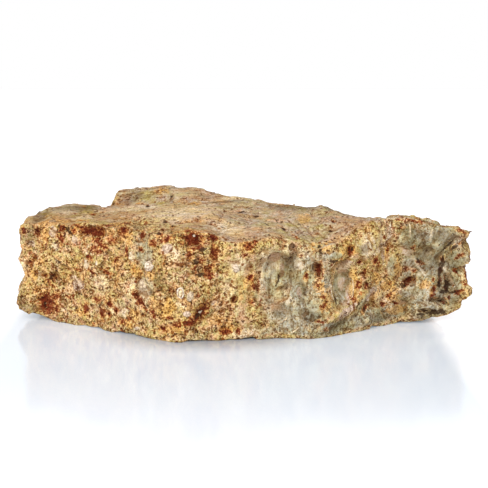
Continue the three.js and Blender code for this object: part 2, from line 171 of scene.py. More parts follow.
        (81, 9, 5, 3.4), (53, 14, 2, 6, -42), (80, 22, 3.6, 3), (34, 4, 24, 3), (37, 34.5, 5, 1.2),
        (24, 20, 14, 18), (83, 24, 15, 24), (-40.6, 36.6, 3, 6), (-39.4, 21.6, 2.4, 4), (15.6, 15, 5, 5),
    ],
    # lighter zones: partly paler rock, partly painted light that lifts places lying in shade
    "light": [
        (-44, 18.5, 5, 7), (-1.5, 30, 4, 4), (60.5, 38.5, 4, 5), (54, 33, 4, 2), (52, 40, 3, 2, 35),
        (-25, 16, 2, 2.6), (-59, 21, 4, 4), (-28, 36, 3, 3), (7, 24, 2, 8), (18.6, 37, 3, 3.6),
        (-5, 20, 2.4, 4), (-1, 2.4, 7, 2), (39, 29, 2.4, 3), (-33.4, 16.6, 2, 3), (-55, 9.5, 5, 2.6),
        (-98, 25, 3, 3), (97, 22, 3, 5), (60, 13, 4, 3), (9, 35, 3, 3),
    ],
    # dusky zones: partly darker rock, partly painted shade at the foot, under the block, in the crack and on
    # the right end
    "dusk": [
        (87.5, 17, 5, 7), (84, 4, 9, 2.4), (27.5, 10.5, 2, 2), (17, 28, 1.4, 3), (88, 36, 1.6, 6, -37),
        (-17, 13, 2, 4, -38), (16.6, 26.7, 1.4, 2.4), (71, 42, 5, 3), (78, 38, 3, 3, -30), (78, 31.5, 8, 4),
        (90.4, 29, 4, 5), (-97, 8, 3, 4), (-14, 17, 2.4, 3), (24, 20, 2, 5), (-34, 25, 3, 4), (69, 23, 4, 4),
        (91.4, 13, 3, 5), (82, 27, 5, 5), (68, 6, 4, 3), (-93, 38, 4, 4), (96, 37, 3, 3), (85, 39, 5, 3),
        (50, 36, 3, 2), (16, 12, 4, 3), (38, 5, 7, 3, 20), (73, 35, 4, 6), (69, 12, 3, 3), (77, 27, 4, 4),
        (60, 5, 6, 2.4), (20, 30, 3, 7), (28, 9, 5, 3),
    ],
}
TOP_SPOTS = {
    "iron": [
        (22, -37.5, 0.4, 5, 15), (39, -20, 0.8, 1.6), (-57, -31, 2.6, 2.4), (69, -21, 1.6, 1.6),
        (76.5, -23, 2.4, 1.2), (93, -20, 2, 1.6), (-49.7, -28.6, 2, 3), (-33.2, -27.5, 0.9, 2.4),
        (-27.9, -43.6, 1.4, 2), (-41.5, -27, 0.7, 2),
    ],
    "ochre": [
        (27, -14, 3, 6), (-22, 14.5, 3, 2), (-38.5, 32, 3, 4), (-50.5, -29, 3.6, 7), (-84, -16, 6, 3),
    ],
    # dark marks of the upper face: painted shade in the pits that the forms sink there
    "dark": [
        (6.3, -5.7, 1.3, 1.2), (-16, 7.3, 1.8, 0.8), (17, -29.8, 1, 1.2), (3.1, -21.5, 1, 0.9),
        (3.4, -32.2, 0.9, 0.8), (37.5, -28.5, 1.3, 1.2), (30.9, -5.6, 1, 1.2), (-44.7, 19.7, 1, 0.9),
        (-66.8, -4.3, 0.9, 1.2), (-33.7, 25.9, 1.1, 1.1), (47.7, -6.9, 1.8, 1.2), (-1, -2, 3, 0.6),
        (15, -17, 0.4, 4, 15), (24, -22, 0.4, 6, 15), (10, -27, 0.4, 4, 25), (-79, -9, 1, 1),
        (-33.4, -27, 1.2, 4.4), (-15.5, 8, 2, 1),
    ],
    "calm": [(-22, -20, 16, 20), (-62, -20, 9, 5)],
    # lighter zones of the upper face: partly paler bedding, partly painted light
    "light": [
        (-8, -33, 8, 8), (-28, -10, 18, 20), (-47, 12, 16, 7, -12), (-70, -8, 5, 4), (-82, 10, 6, 5),
        (68, -22, 8, 4), (-4, 22, 8, 5),
    ],
    # dusky zones of the upper face: partly darker rock, partly painted shade
    "dusk": [
        (-92, 2, 3, 12), (41, 3, 4, 5), (-63, 26, 2, 8), (-8, 14, 10, 2), (-54, 31, 6, 6), (24, 8, 12, 10),
        (-78, 16, 12, 8),
    ],
    "white": [(-53.3, -8.5, 1, 0.8), (-77.7, -2.9, 0.8, 0.8)],
    "grey": [
        (20, -14, 16, 18), (-30, 32, 8, 8), (72, -24, 9, 6), (0, -36, 9, 6),
    ],
}

# Where the smooth upper face ends, from left to right: in front of this line the rock is broken
BREAK_LINE = [
    (-100, -14), (-88.6, -17), (-80, -21), (-70.3, -27.6), (-63.8, -31), (-57.4, -28.5), (-52.7, -25),
    (-50, -18), (-47.4, -14), (-43.2, -11.4), (-39.8, -15), (-36.8, -20), (-33.6, -27.4), (-30.7, -33),
    (-26.9, -40.4), (-23.3, -44.7), (-19, -49), (-12, -60), (40, -60), (44.6, -39.3), (49.9, -36),
    (52.7, -33), (55.7, -29.8), (58.5, -27.6), (61.5, -23), (65, -14), (100, -12),
]

# How far the underside stands higher than in the solid, from left to right
FOOT_LINE = [
    (-100, 0.8), (-90, 0.6), (-80, 0), (66, 0), (72, 0.8), (78, 2), (82, 1.7), (85.5, 0), (89, -1),
    (100, -1),
]

# Where breaking left the front smooth rather than grainy
POLISHED_SPOTS = [
    (41, 22, 4.2, 7.6), (78, 30.5, 8, 3.6), (84, 36, 4.4, 6, -30), (14, 29, 5.4, 8), (41, 11, 6, 1.6, 35),
    (64.5, 26.5, 2.2, 4.2), (51, 35, 2.6, 4, 35), (58.5, 34, 2, 7), (54, 14.5, 1.8, 5, -42), (86, 27, 1.6, 4),
]

# Rows for the stone's forms, placed as the spots are, with how far they stand out in millimetres, or
# sink in, and whether they are flat in the middle
Form = namedtuple("Form", "x z half_x half_z turn height flat", defaults=(False,))
FORMS = {
    "front": [
        # right block with the smooth hollow below it, the grey plane and the crack
        (71.2, 40.1, 7.7, 5.3, 0, 0.6, True), (67.7, 46.5, 4.7, 1.5, 0, 0.8), (74, 33, 9, 6, 0, 3.6),
        (77.5, 30.2, 4.5, 2.2, 0, -0.7), (63.1, 40.3, 0.8, 5.1, 0, 1), (86.5, 35, 3, 6, -35, 0.9),
        (80.9, 39.9, 0.8, 3.4, -10, 0.9), (88, 33.8, 0.7, 5.4, -37, -0.6), (85.3, 24.9, 1.4, 3.6, -5, -0.8),
        # right end
        (92.5, 39.9, 3.8, 3.8, 0, 0.8), (91.5, 34.4, 2, 0.8, 30, -0.8), (93, 30.1, 4, 4.4, 0, 1.6),
        (94.6, 24.3, 2.2, 1, 0, -0.8), (93, 19, 2.6, 5.1, 20, 0.5), (89.3, 21.5, 1, 6.4, 30, 0.7),
        (84.9, 18.1, 1.1, 1.6, 0, -1.2), (88.5, 15, 1.2, 1, 0, -1), (82.6, 16.5, 0.9, 1.3, 0, -0.8),
        (92.1, 15.3, 2.1, 0.7, 20, -0.7), (86, 10, 1.2, 0.7, 0, -1), (89, 9.8, 0.7, 1.2, 0, -0.9),
        (81.5, 5.1, 5.9, 0.8, 12, -0.9), (82, 12, 3, 2.4, 0, 0.6),
        # below the block
        (64.5, 26.6, 2.3, 4.4, 8, 1.9), (76.5, 25.5, 1.4, 4.7, 36, 0.9), (72.1, 18.7, 3, 2, 35, -1.8, True),
        (76.6, 18.4, 1, 2.1, 10, -1.4), (74.9, 14.7, 1.9, 1.5, 0, 1), (66, 16, 3, 3, 0, 0.7),
        (57, 9, 5, 3, 0, 0.8),
        # fan of ridges and the groove beside it
        (49.3, 35.1, 0.8, 5.7, 42, 1.5), (55.2, 37.8, 0.7, 6.6, 20, 0.8), (60, 33.5, 0.9, 6.7, 4, -1.5),
        (62.5, 33.6, 0.7, 3.8, -25, 0.9), (51.5, 40.7, 4.9, 3.7, -20, 1.2), (45.2, 36.1, 1.6, 2, 0, -2),
        (52.6, 38.6, 6, 0.6, -60, 0.8), (54.2, 37.6, 6, 0.5, -64, -0.6), (55.5, 27, 2.6, 5, 0, 0.9),
        (52.5, 22.5, 1, 5, -12, -0.9),
        # oval hollow with its rim, the grey facet and the ledge below them
        (41.2, 22.4, 4.3, 7.8, 0, -2.2, True), (40.5, 32, 4.3, 0.7, 0, 1.1), (37.6, 17.7, 0.6, 3.7, 15, 1.1),
        (39.8, 16, 0.5, 3.3, 12, 0.9), (50.3, 13.8, 1.8, 6.2, -42, 1.1), (36.9, 8.3, 6.4, 0.9, 28, 1.3),
        (41.5, 5.4, 5.7, 1.1, 15, -1.2), (31.2, 29.2, 1.5, 3.2, 5, -1.5), (32.7, 16.2, 2.8, 7.2, 0, 1.5),
        (46, 21, 1, 6, 0, 0.9),
        # scoop with its flutes, and the nose's edge
        (14.6, 24.9, 6.9, 10.9, 0, -2.6, True), (15.8, 25.3, 0.9, 4.9, -8, -1),
        (11.3, 19.8, 0.7, 5.7, -6, -0.8), (20, 21.9, 0.7, 6.5, 0, -0.9), (5, 25.2, 1.3, 10.5, 0, 1.3),
        (24.1, 26.1, 3.2, 8.1, 0, 0.9), (20.7, 37.9, 0.8, 1, 0, -2), (31.7, 37.3, 0.8, 1.2, 0, -2.2),
        (20.3, 34.2, 0.5, 2.8, -30, -1), (21.2, 3.2, 2, 0.4, -25, 0.8), (16.2, 8.1, 3, 0.4, 30, 0.7),
        (18, 7, 8, 4, 0, 1), (26, 12.6, 1.3, 3, 0, -1),
        # left face
        (-66.2, 42, 5.4, 2.4, -6, -2, True), (-60.1, 41.8, 1.6, 3.3, 0, -2.1), (-72.9, 44, 1.9, 0.9, 0, -1.3),
        (-49.5, 44.3, 1.5, 2.5, 0, -2), (-75.6, 41.2, 3.6, 0.6, -33, -1.2), (-86.5, 8.5, 4, 4.6, 0, 1.4),
        (-42.6, 19, 2.4, 3.6, 20, 1.6), (-61.1, 33.9, 3.3, 0.8, 10, -0.8), (-83.6, 20.4, 1.4, 1.3, 0, -1.6),
        (-91.4, 27.8, 0.9, 1.4, 20, -1.2), (-93.9, 26.2, 0.9, 1.1, 0, -1.1),
        (-90.1, 39.3, 0.9, 1.7, 25, -1.2), (-79.3, 26.4, 3, 0.6, -45, -1), (-38.2, 30.6, 1.8, 1.8, 0, 0.9),
        # nose
        (-20.3, 42.4, 4.2, 3.6, 0, -1.8, True), (-12.3, 43.2, 2, 1.8, 0, -1.4),
        (-11.3, 34.8, 1.1, 4.4, 0, -0.5), (-13.7, 27.7, 1.8, 1.4, 20, -0.4),
        (-17.8, 11.6, 1.9, 4.8, -38, -0.9, True), (-43.5, 16.9, 0.6, 2.4, -20, -0.7),
        (-41.4, 14.5, 0.7, 4, 25, -0.7), (-31.7, 44.7, 2.4, 1.6, 0, -1), (-28.1, 45, 2, 0.7, 0, -1.3),
        (-21.5, 7.7, 3.6, 2, 0, -1.1), (2.9, 39.6, 3.2, 1.6, 25, -1.2), (-35, 13, 2, 5, 30, -0.6),
        (-30, 27, 7, 6, 0, 0.6), (-55, 20, 9, 6, 0, 0.5),
    ],
    "bottom": [(-92, -17, 6, 4, 0, 1.4)],
    "right": [
        # notches and knobs of the right end's outline
        (-24, 35.6, 8, 1.9, 0, -2.9), (-24, 24.6, 9, 1.9, 0, -4), (-22, 41.4, 4, 1.5, 0, 1.7),
        (-24, 11, 9, 1.9, 0, -3.4), (-24, 30.5, 6, 2.4, 0, -0.5), (-22, 7, 6, 2, 0, 1.6),
        (5, 28, 4, 6, 20, -1.5), (20, 14, 5, 4, 0, 1.2), (0, 12, 5, 1.4, 30, -1.5), (12, 36, 6, 2, -15, 1.2),
        (-8, 20, 2, 7, 10, 1),
    ],
    "left": [
        (-19, 20, 9, 5.4, 0, -1.8), (-19, 7, 8, 3.4, 0, 1.6), (-19, 38.5, 8, 2.6, 0, -1),
        (20, 34, 5, 3, 20, 1), (-8, 10, 5, 3, 0, 1), (25, 14, 6, 1.4, 15, -1.2),
    ],
    "back": [
        (-70, 22, 8, 7, 0, -2.4, True), (-48, 34, 4, 6, 20, 1.6), (-30, 15, 6, 5, 0, -2, True),
        (-12, 30, 1, 9, 10, 1.4), (8, 22, 8, 9, 0, -2.2, True), (28, 36, 6, 4, 0, 1.4),
        (40, 16, 1.2, 9, -25, -1.8), (58, 26, 7, 6, 0, 1.4), (76, 14, 5, 3, 0, -2), (-84, 36, 4, 2, 0, -1.6),
        (70, 38, 4, 2.4, 0, -1.8), (-56, 8, 7, 1.6, 10, -1.4), (18, 7, 9, 1.4, -6, 1.2),
        (-4, 12, 3, 2, 0, -1.8, True),
    ],
    "top": [
        # the skyline's knobs and dips, from the rear lobe to the right end
        (-65.3, 34, 2.8, 10, 0, -1.8, True), (-61.5, 38, 2, 10, 0, 1.9), (-32, 45, 6, 10, 0, -1),
        (-16.5, 44, 5, 10, 0, -2), (12.5, 24, 5.5, 9, 0, -2.4), (38, 5, 4.2, 7, 0, 2.2),
        (51, 0, 4, 7, 0, -0.8), (57, -8, 4, 7, 0, -0.8), (62, -14, 1.6, 6, 0, -2.4),
        (66.5, -16, 3, 5, 0, 0.7), (71.5, -18, 2, 5, 0, -1), (91, -24, 4, 6, 0, 1.2),
        # pits, the low step round the smooth front part, and the foot of the rear lobe
        (6.3, -5.7, 1.8, 3.4, 0, -1.2), (-16, 7.3, 2, 2.4, 0, -1.4), (17, -29.8, 1.4, 3.4, 0, -1.2),
        (3.1, -21.5, 1.4, 2.4, 0, -1), (3.4, -32.2, 1.1, 2, 0, -0.8), (37.5, -28.5, 1.9, 3, 0, -1.2),
        (30.9, -5.6, 1.1, 3.2, 0, -1), (39, -20, 0.9, 2.4, 0, -0.8), (-44.7, 19.7, 1.3, 2.6, 0, -1.2),
        (-66.8, -4.3, 1.1, 4, 0, -1), (-33.7, 25.9, 1.3, 3.4, 0, -1), (47.7, -6.9, 2.4, 3, 0, -1),
        (-1, -2, 4, 1, 0, -0.8), (-22, -15, 11, 20, 0, 0.7, True), (22, -22, 0.7, 13, 15, -0.6),
        (15, -17, 0.6, 7, 15, -0.5), (28, -30, 0.7, 10, 18, -0.6), (33, -34, 0.7, 8, 22, -0.5),
        (-9.5, -20, 0.8, 13, -6, -0.7), (-56, 26, 11, 1.6, -32, -1), (-71, -6, 5, 3, 0, 0.7),
        (56, -30, 5, 6, 0, 0.9), (-85, -12, 6, 3, 20, 0.6), (-45, 0, 14, 1, -8, -0.5),
        (-77, 16, 11, 10, 0, 0.9, True), (80.5, -23, 3, 6, 0, -0.7),
    ],
}

# Rows for the fossils and calcite bits of the front: their middles, half sizes and turn as the spots
# have them, and their tone from tan through greenish and lilac to white
Fossil = namedtuple("Fossil", "x z half_x half_z turn tone")
FOSSILS = {
    "ring": [(-25.3, 20.6, 1.2, 2.1, 0, 0.97)],
    "lump": [
        (-25.3, 20.6, 0.8, 1.6, 0, 0.2), (-38.2, 31, 1.7, 2.1, -20, 0.9), (-2.8, 30.1, 1.3, 1.8, 10, 0.86),
        (-66.9, 28.8, 0.7, 1, 0, 0.6), (-30.2, 38.9, 2.1, 1.4, 35, 0.76), (-46, 33.5, 1.1, 1.4, 0, 0.4),
        (-40.9, 22.3, 1.9, 2.8, -20, 0.6), (-21.4, 19, 1.3, 1.9, -15, 0.6), (-44, 3.5, 1, 0.7, 0, 0.9),
        (-22.7, 11.8, 1.5, 1.2, 0, 0.74), (-17.5, 12, 0.5, 1.1, -50, 0.9), (-19.8, 43.6, 0.6, 0.5, 0, 0.95),
        (-61.7, 29.2, 0.6, 0.6, 0, 0.9),
    ],
    "rib": [
        (21, 3.4, 0.7, 2.6, -60, 0.4), (16.5, 7.8, 0.5, 2.4, -55, 0.3), (46.3, 19, 0.6, 4, 0, 0.2),
        (37, 18.6, 0.8, 3.6, 190, 0.5), (71.8, 41.6, 0.4, 2.8, 0, 0.4),
    ],
}

# Inputs of the broken relief, each named as the setting that it gets
RELIEF_INPUTS = (
    "Block Size", "Block Slope", "Chip Size", "Chip Slope", "Clast Size", "Clast Height", "Pit Size",
    "Pit Depth", "Bed Height",
)

# How far rust has eaten into the front
RUST_DEPTH = 0.4 * MM

# Points strewn on a square metre, which the least distance between them then thins out
SAND_DENSITY = 4e6
SHELL_DENSITY = 4e4

# Most copies in a scattered piece: grains of 20 triangles then stay under 200,000
MOST_COPIES = 9990

# Largest turn of a scattered copy, in radians
FULL_TURN = 6.28

# Sockets that several node groups have, and the middle of a noise's colours
GEOMETRY = {"Geometry": ("NodeSocketGeometry", None)}
VECTOR = ("NodeSocketVector", None)
SEED = ("NodeSocketInt", 1)
HALF = (0.5, 0.5, 0.5)


def srgb(red, green, blue):
    """The scene-linear colour of an sRGB one with channels from 0 to 255."""
    shares = [channel / 255 for channel in (red, green, blue)]
    return tuple(s / 12.92 if s <= 0.04045 else ((s + 0.055) / 1.055) ** 2.4 for s in shares)


def length(name, description, default):
    """A size in metres that a user can change."""
    return bpy.props.FloatProperty(
        name=name, description=description, default=default, min=0, precision=5, unit="LENGTH"
    )


def amount(name, description, default, least=0, unit="NONE"):
    """A number that a user can change."""
    return bpy.props.FloatProperty(name=name, description=description, default=default, min=least, unit=unit)


def colour(name, description, default):
    """A colour that a user can change."""
    return bpy.props.FloatVectorProperty(
        name=name, description=description, default=default, size=3, min=0, max=1, subtype="COLOR"
    )


class StoneSettings(bpy.types.PropertyGroup):
    """Sizes of the stone's broken surface."""

    skin_cell: length("Skin cell", "Size of the cells that the stone's skin is first made of", 0.46 * MM)
    triangles: bpy.props.IntProperty(
        name="Triangles", description="Most triangles of the stone's skin", default=194000, min=1000
    )
    block_size: length("Block size", "Width of the large facets of a broken face", 12 * MM)
    block_slope: amount("Block slope", "How far the large facets tilt", 0.16)
    chip_size: length("Chip size", "Width of the small facets left by chipping", 3.8 * MM)
    chip_slope: amount("Chip slope", "How far the small facets tilt", 0.2)
    clast_size: length("Clast size", "Width of the grains and shell bits that show as bumps", 1.5 * MM)
    clast_height: length("Clast height", "How far those bumps stand out", 0.12 * MM)
    pit_size: length("Pit size", "Distance between the small pits", 2.4 * MM)
    pit_depth: length("Pit depth", "How deep the small pits go", 0.45 * MM)
    bed_height: length("Bed height", "Height of the thin beds' edges on the upper face", 0.22 * MM)
    form_scale: amount("Forms", "Share of their height that the placed forms get", 1)


class GrainSettings(bpy.types.PropertyGroup):
    """Sizes of the sand grains and shells that stand on the broken surface."""

    coarse_spacing: length("Coarse spacing", "Least distance between coarse grains", 2.4 * MM)
    coarse_radius: length("Coarse radius", "Radius of a coarse grain", 0.36 * MM)
    fine_spacing: length("Fine spacing", "Least distance between fine grains", 1.0 * MM)
    fine_radius: length("Fine radius", "Radius of a fine grain", 0.24 * MM)
    shell_spacing: length("Shell spacing", "Least distance between shell fragments", 9 * MM)
    shell_size: length("Shell size", "Length of a shell fragment", 3.2 * MM)


class ColourSettings(bpy.types.PropertyGroup):
    """Colours of the limestone and its stains."""

    beige: colour("Beige", "Greyish grains", srgb(218, 211, 182))
    olive: colour("Olive", "Yellowish green grains", srgb(218, 206, 144))
    tan: colour("Tan", "Most grains", srgb(240, 210, 164))
    gold: colour("Gold", "Warm grains", srgb(245, 202, 140))
    rose: colour("Rose", "Pinkish grains", srgb(242, 204, 168))
    bedding: colour("Bedding", "Upper face", srgb(237, 223, 199))
    grey: colour("Grey", "Smooth hollows", srgb(194, 198, 180))
    ochre: colour("Ochre", "Yellow iron stain", srgb(236, 186, 108))
    rust: colour("Rust", "Red iron stain", srgb(200, 124, 72))
    oxide: colour("Oxide", "Heart of an iron stain", srgb(112, 44, 20))
    lilac: colour("Lilac", "Greyish lilac calcite", srgb(214, 192, 170))
    pale: colour("Pale", "Pale greenish calcite", srgb(234, 220, 186))
    shell: colour("Shell", "White shell", srgb(244, 232, 212))
    # the dark painted into holes and cracks as their shade, and into a few dark stains
    pit: colour("Pit", "Depth of the holes", srgb(64, 42, 24))


class StageSettings(bpy.types.PropertyGroup):
    """Table, lights and lens."""

    key_power: amount("Key", "Power of the large lamp on the left", 15.6, unit="POWER")
    fill_power: amount("Fill", "Power of the lamp on the right", 3, unit="POWER")
    room_light: amount("Room", "Strength of the light from all around", 0.52)
    table_size: length("Table size", "Side of the white table", 6.0)
    lens: amount("Lens", "Focal length on a sensor 36 mm wide", CAMERA_LENS, least=10)


class Nodes:
    """A node tree being wired up. Most methods add a node and give back its main output."""

    def __init__(self, tree):
        self.tree = tree

    def add(self, kind, inputs=None, **settings):
        node = self.tree.nodes.new(kind)
        for name, value in settings.items():
            setattr(node, name, value)
        for key, value in (inputs or {}).items():
            self.feed(node.inputs[key], value)
        return node

    def feed(self, socket, value):
        if isinstance(value, bpy.types.NodeSocket):
            self.tree.links.new(value, socket)
        elif value is not None:
            socket.default_value = value

    def value(self, operation, *inputs):
        return self.add("ShaderNodeMath", dict(enumerate(inputs)), operation=operation).outputs[0]

    def plus(self, a, b):
        return self.value("ADD", a, b)

    def minus(self, a, b):
        return self.value("SUBTRACT", a, b)

    def times(self, a, b):
        return self.value("MULTIPLY", a, b)

    def most(self, a, b):
        return self.value("MAXIMUM", a, b)

    def vector(self, operation, *inputs):
        node = self.add("ShaderNodeVectorMath", operation=operation)
        for socket, value in zip(node.inputs, inputs):
            self.feed(socket, value)
        return node.outputs["Value" if operation in ("DOT_PRODUCT", "LENGTH") else "Vector"]

    def scaled(self, vector, factor):
        node = self.add("ShaderNodeVectorMath", {"Scale": factor, 0: vector}, operation="SCALE")
        return node.outputs["Vector"]

    def turned(self, vector, angle, axis):
        inputs = {"Vector": vector, "Angle": angle}
        return self.add("ShaderNodeVectorRotate", inputs, rotation_type=axis).outputs[0]

    def part(self, vector, axis):
        return self.add("ShaderNodeSeparateXYZ", {0: vector}).outputs[axis]

    def point(self, x, y, z):
        return self.add("ShaderNodeCombineXYZ", {0: x, 1: y, 2: z}).outputs[0]

    def smooth(self, value, low, high):
        """A soft step from 0 at low to 1 at high."""
        inputs = {"Value": value, "From Min": low, "From Max": high}
        return self.add("ShaderNodeMapRange", inputs, interpolation_type="SMOOTHSTEP").outputs[0]

    def lerp(self, factor, a, b):
        return self.add("ShaderNodeMix", {0: factor, 2: a, 3: b}, data_type="FLOAT").outputs[0]

    def blend(self, factor, a, b, how="MIX"):
        node = self.add("ShaderNodeMix", data_type="RGBA", blend_type=how)
        for key, value in ((0, factor), (6, a), (7, b)):
            self.feed(node.inputs[key], (*value, 1) if isinstance(value, (tuple, Color)) else value)
        return node.outputs[2]

    def frequency(self, size):
        return self.value("DIVIDE", 1, size) if isinstance(size, bpy.types.NodeSocket) else 1 / size

    def noise(self, place, size, detail=2.0, roughness=0.55, output=0, shift=None):
        vector = self.vector("ADD", place, shift) if shift else place
        inputs = {"Vector": vector, "Scale": self.frequency(size), "Detail": detail, "Roughness": roughness}
        return self.add("ShaderNodeTexNoise", inputs).outputs[output]

    def cells(self, place, size):
        return self.add("ShaderNodeTexVoronoi", {"Vector": place, "Scale": self.frequency(size)})

    def blurred(self, value, rounds, kind="FLOAT_VECTOR"):
        """A field on the surface, evened out with its neighbours some rounds."""
        inputs = {0: value, "Iterations": rounds}
        return self.add("GeometryNodeBlurAttribute", inputs, data_type=kind).outputs[0]

    def noted(self, name):
        """A number kept on the surface's points."""
        if self.tree.bl_idname == "ShaderNodeTree":
            return self.add("ShaderNodeAttribute", attribute_name=name).outputs["Fac"]
        return self.add("GeometryNodeInputNamedAttribute", {"Name": name}, data_type="FLOAT").outputs[0]

    def upper_face(self):
        """How surely a point lies on the upper face, behind the break line."""
        return self.times(self.smooth(self.noted("upward"), 0.5, 0.85), self.minus(1, self.noted("broken")))

    def bump(self, height, strength, distance):
        inputs = {"Strength": strength, "Distance": distance, "Height": height}
        return self.add("ShaderNodeBump", inputs).outputs[0]

    def ramp(self, value, stops):
        """A colour for each value, from stops of a position and a colour."""
        node = self.add("ShaderNodeValToRGB", {0: value})
        elements = node.color_ramp.elements
        elements[0].position, elements[1].position = stops[0][0], stops[-1][0]
        for place, _ in stops[1:-1]:
            elements.new(place)
        for element, (_, shade) in zip(elements, stops):
            element.color = (*shade, 1)
        return node.outputs[0]


def new_group(kind, name, inputs, outputs):
    """A new node group with its sockets, and its input and output nodes."""
    tree = bpy.data.node_groups.new(name, kind)
    for in_out, sockets in (("INPUT", inputs), ("OUTPUT", outputs)):
        for label, (socket_type, default) in sockets.items():
            socket = tree.interface.new_socket(label, in_out=in_out, socket_type=socket_type)
            if default is not None:
                socket.default_value = default
    nodes = Nodes(tree)
    return nodes, nodes.add("NodeGroupInput").outputs, nodes.add("NodeGroupOutput").inputs


def number(default=0.0):
    return ("NodeSocketFloat", default)


def place_group(nodes, group, inputs):
    """Puts a shader group in a tree and gives back its outputs."""
    return nodes.add("ShaderNodeGroup", inputs, node_tree=group).outputs


# Shapes made by geometry nodes

def facets(nodes, place, size, slope):
    """Small tilted planes side by side: how far each point of them stands out."""
    cells = nodes.cells(place, size)
    lean = nodes.vector("SUBTRACT", cells.outputs["Color"], HALF)
    away = nodes.vector("SUBTRACT", place, cells.outputs["Position"])
    return nodes.times(nodes.vector("DOT_PRODUCT", away, lean), nodes.times(slope, 2))


def broken_relief_tree():
    """Roughens a skin as rock breaks: facets, bumps, pits, and on top the edges of thin beds."""
    inputs = GEOMETRY | {name: number() for name in RELIEF_INPUTS}
    nodes, given, made = new_group("GeometryNodeTree", "Broken relief", inputs, GEOMETRY)
    place = nodes.add("GeometryNodeInputPosition").outputs[0]
    normal = nodes.add("GeometryNodeInputNormal").outputs[0]
    out = nodes.vector("NORMALIZE", nodes.blurred(normal, 6))
    polish, course = nodes.noted("polish"), nodes.noted("course")
    top = nodes.times(nodes.smooth(nodes.part(out, "Z"), 0.55, 0.88), nodes.minus(1, nodes.noted("broken")))
    rough = nodes.lerp(polish, nodes.lerp(top, 1, 0.5), 0.14)

    # facets of two sizes with worn edges, and swells between them
    bend = nodes.vector("SUBTRACT", nodes.noise(place, 3 * MM, 2, 0.5, output=1), HALF)
    bent = nodes.vector("ADD", place, nodes.scaled(bend, 2.2 * MM))
    blocks = facets(nodes, bent, given["Block Size"], given["Block Slope"])
    chips = facets(nodes, bent, given["Chip Size"], given["Chip Slope"])
    swell = nodes.minus(nodes.noise(place, 5.5 * MM, 4, 0.6), 0.5)
    steps = nodes.blurred(nodes.plus(blocks, chips), 3, "FLOAT")
    worn = nodes.plus(steps, nodes.times(swell, 1.7 * MM))
    broad = nodes.times(worn, rough)

    # bumps of grains and shell bits
    clasts = nodes.cells(bent, given["Clast Size"])
    dome = nodes.minus(0.42, clasts.outputs["Distance"])
    bumps = nodes.times(nodes.times(dome, 2), given["Clast Height"])
    relief = nodes.plus(broad, nodes.times(bumps, rough))

    # pits, which crowd together in places; those in the upper face are longer and fewer
    crowd = nodes.smooth(nodes.noise(place, 11 * MM, 2), 0.38, 0.6)
    edge = nodes.lerp(crowd, 0.66, 0.58)
    holes = nodes.smooth(nodes.noise(bent, given["Pit Size"], 2, 0.5), edge, nodes.plus(edge, 0.1))
    stretched = nodes.vector("MULTIPLY", bent, (1, 0.42, 1))
    slots = nodes.smooth(nodes.noise(stretched, 1.9 * MM, 2, 0.5), 0.64, 0.72)
    holed = nodes.times(nodes.lerp(top, holes, nodes.times(slots, 0.7)), nodes.lerp(polish, 1, 0.1))
    relief = nodes.minus(relief, nodes.times(holed, given["Pit Depth"]))

    # thin beds that end in low ledges on the upper face
    share = nodes.value("FRACT", course)
    bed = nodes.minus(nodes.smooth(share, 0.0, 0.2), share)
    ledges = nodes.times(nodes.times(bed, given["Bed Height"]), top)
    relief = nodes.plus(relief, ledges)

    # nothing goes below the resting face
    moved = nodes.vector("ADD", place, nodes.scaled(out, relief))
    floored = nodes.most(nodes.part(moved, "Z"), 0)
    final = nodes.point(nodes.part(moved, "X"), nodes.part(moved, "Y"), floored)
    shaped = nodes.add("GeometryNodeSetPosition", {"Geometry": given["Geometry"], "Position": final})
    nodes.feed(made["Geometry"], shaped.outputs[0])
    return nodes.tree


def hollow_field(nodes, rounds):
    """How far a point lies below its neighbourhood, in millimetres."""
    place = nodes.add("GeometryNodeInputPosition").outputs[0]
    normal = nodes.add("GeometryNodeInputNormal").outputs[0]
    away = nodes.vector("SUBTRACT", nodes.blurred(place, rounds), place)
    return nodes.value("DIVIDE", nodes.vector("DOT_PRODUCT", away, normal), MM)


def surface_mask_tree():
    """Notes on the skin where it is hollow, in the small and in the large, and where it faces up."""
    nodes, given, made = new_group("GeometryNodeTree", "Surface masks", GEOMETRY, GEOMETRY)
    out = nodes.blurred(nodes.add("GeometryNodeInputNormal").outputs[0], 14)
    masks = {
        "cavity": hollow_field(nodes, 3),
        "hollow": hollow_field(nodes, 30),
        "upward": nodes.part(nodes.vector("NORMALIZE", out), "Z"),
    }
    flow = given["Geometry"]
    for name, mask in masks.items():
        inputs = {"Geometry": flow, "Name": name, "Value": mask}
        flow = nodes.add("GeometryNodeStoreNamedAttribute", inputs, data_type="FLOAT").outputs[0]
    nodes.feed(made["Geometry"], flow)
    return nodes.tree


def spread_points(nodes, given, share, density):
    """Points strewn over a surface at least the spacing apart."""
    inputs = {
        "Mesh": given["Geometry"], "Distance Min": given["Spacing"], "Density Max": density,
        "Density Factor": share, "Seed": given["Seed"],
    }
    return nodes.add("GeometryNodeDistributePointsOnFaces", inputs, distribute_method="POISSON").outputs


def random_number(nodes, low, high, seed):
    inputs = {2: low, 3: high, "Seed": seed}
    return nodes.add("FunctionNodeRandomValue", inputs, data_type="FLOAT").outputs[1]


def set_out(nodes, points, shape, rotation, scale, tone):
    """Copies of a shape on points, each with a tone of its own, as one mesh."""
    few = nodes.value("LESS_THAN", nodes.add("GeometryNodeInputIndex").outputs[0], MOST_COPIES)
    inputs = {"Points": points, "Instance": shape, "Rotation": rotation, "Scale": scale, "Selection": few}
    placed = nodes.add("GeometryNodeInstanceOnPoints", inputs)
    inputs = {"Geometry": placed.outputs[0], "Name": "tone", "Value": tone}
    toned = nodes.add("GeometryNodeStoreNamedAttribute", inputs, data_type="FLOAT", domain="INSTANCE")
    return nodes.add("GeometryNodeRealizeInstances", {"Geometry": toned.outputs[0]}).outputs[0]


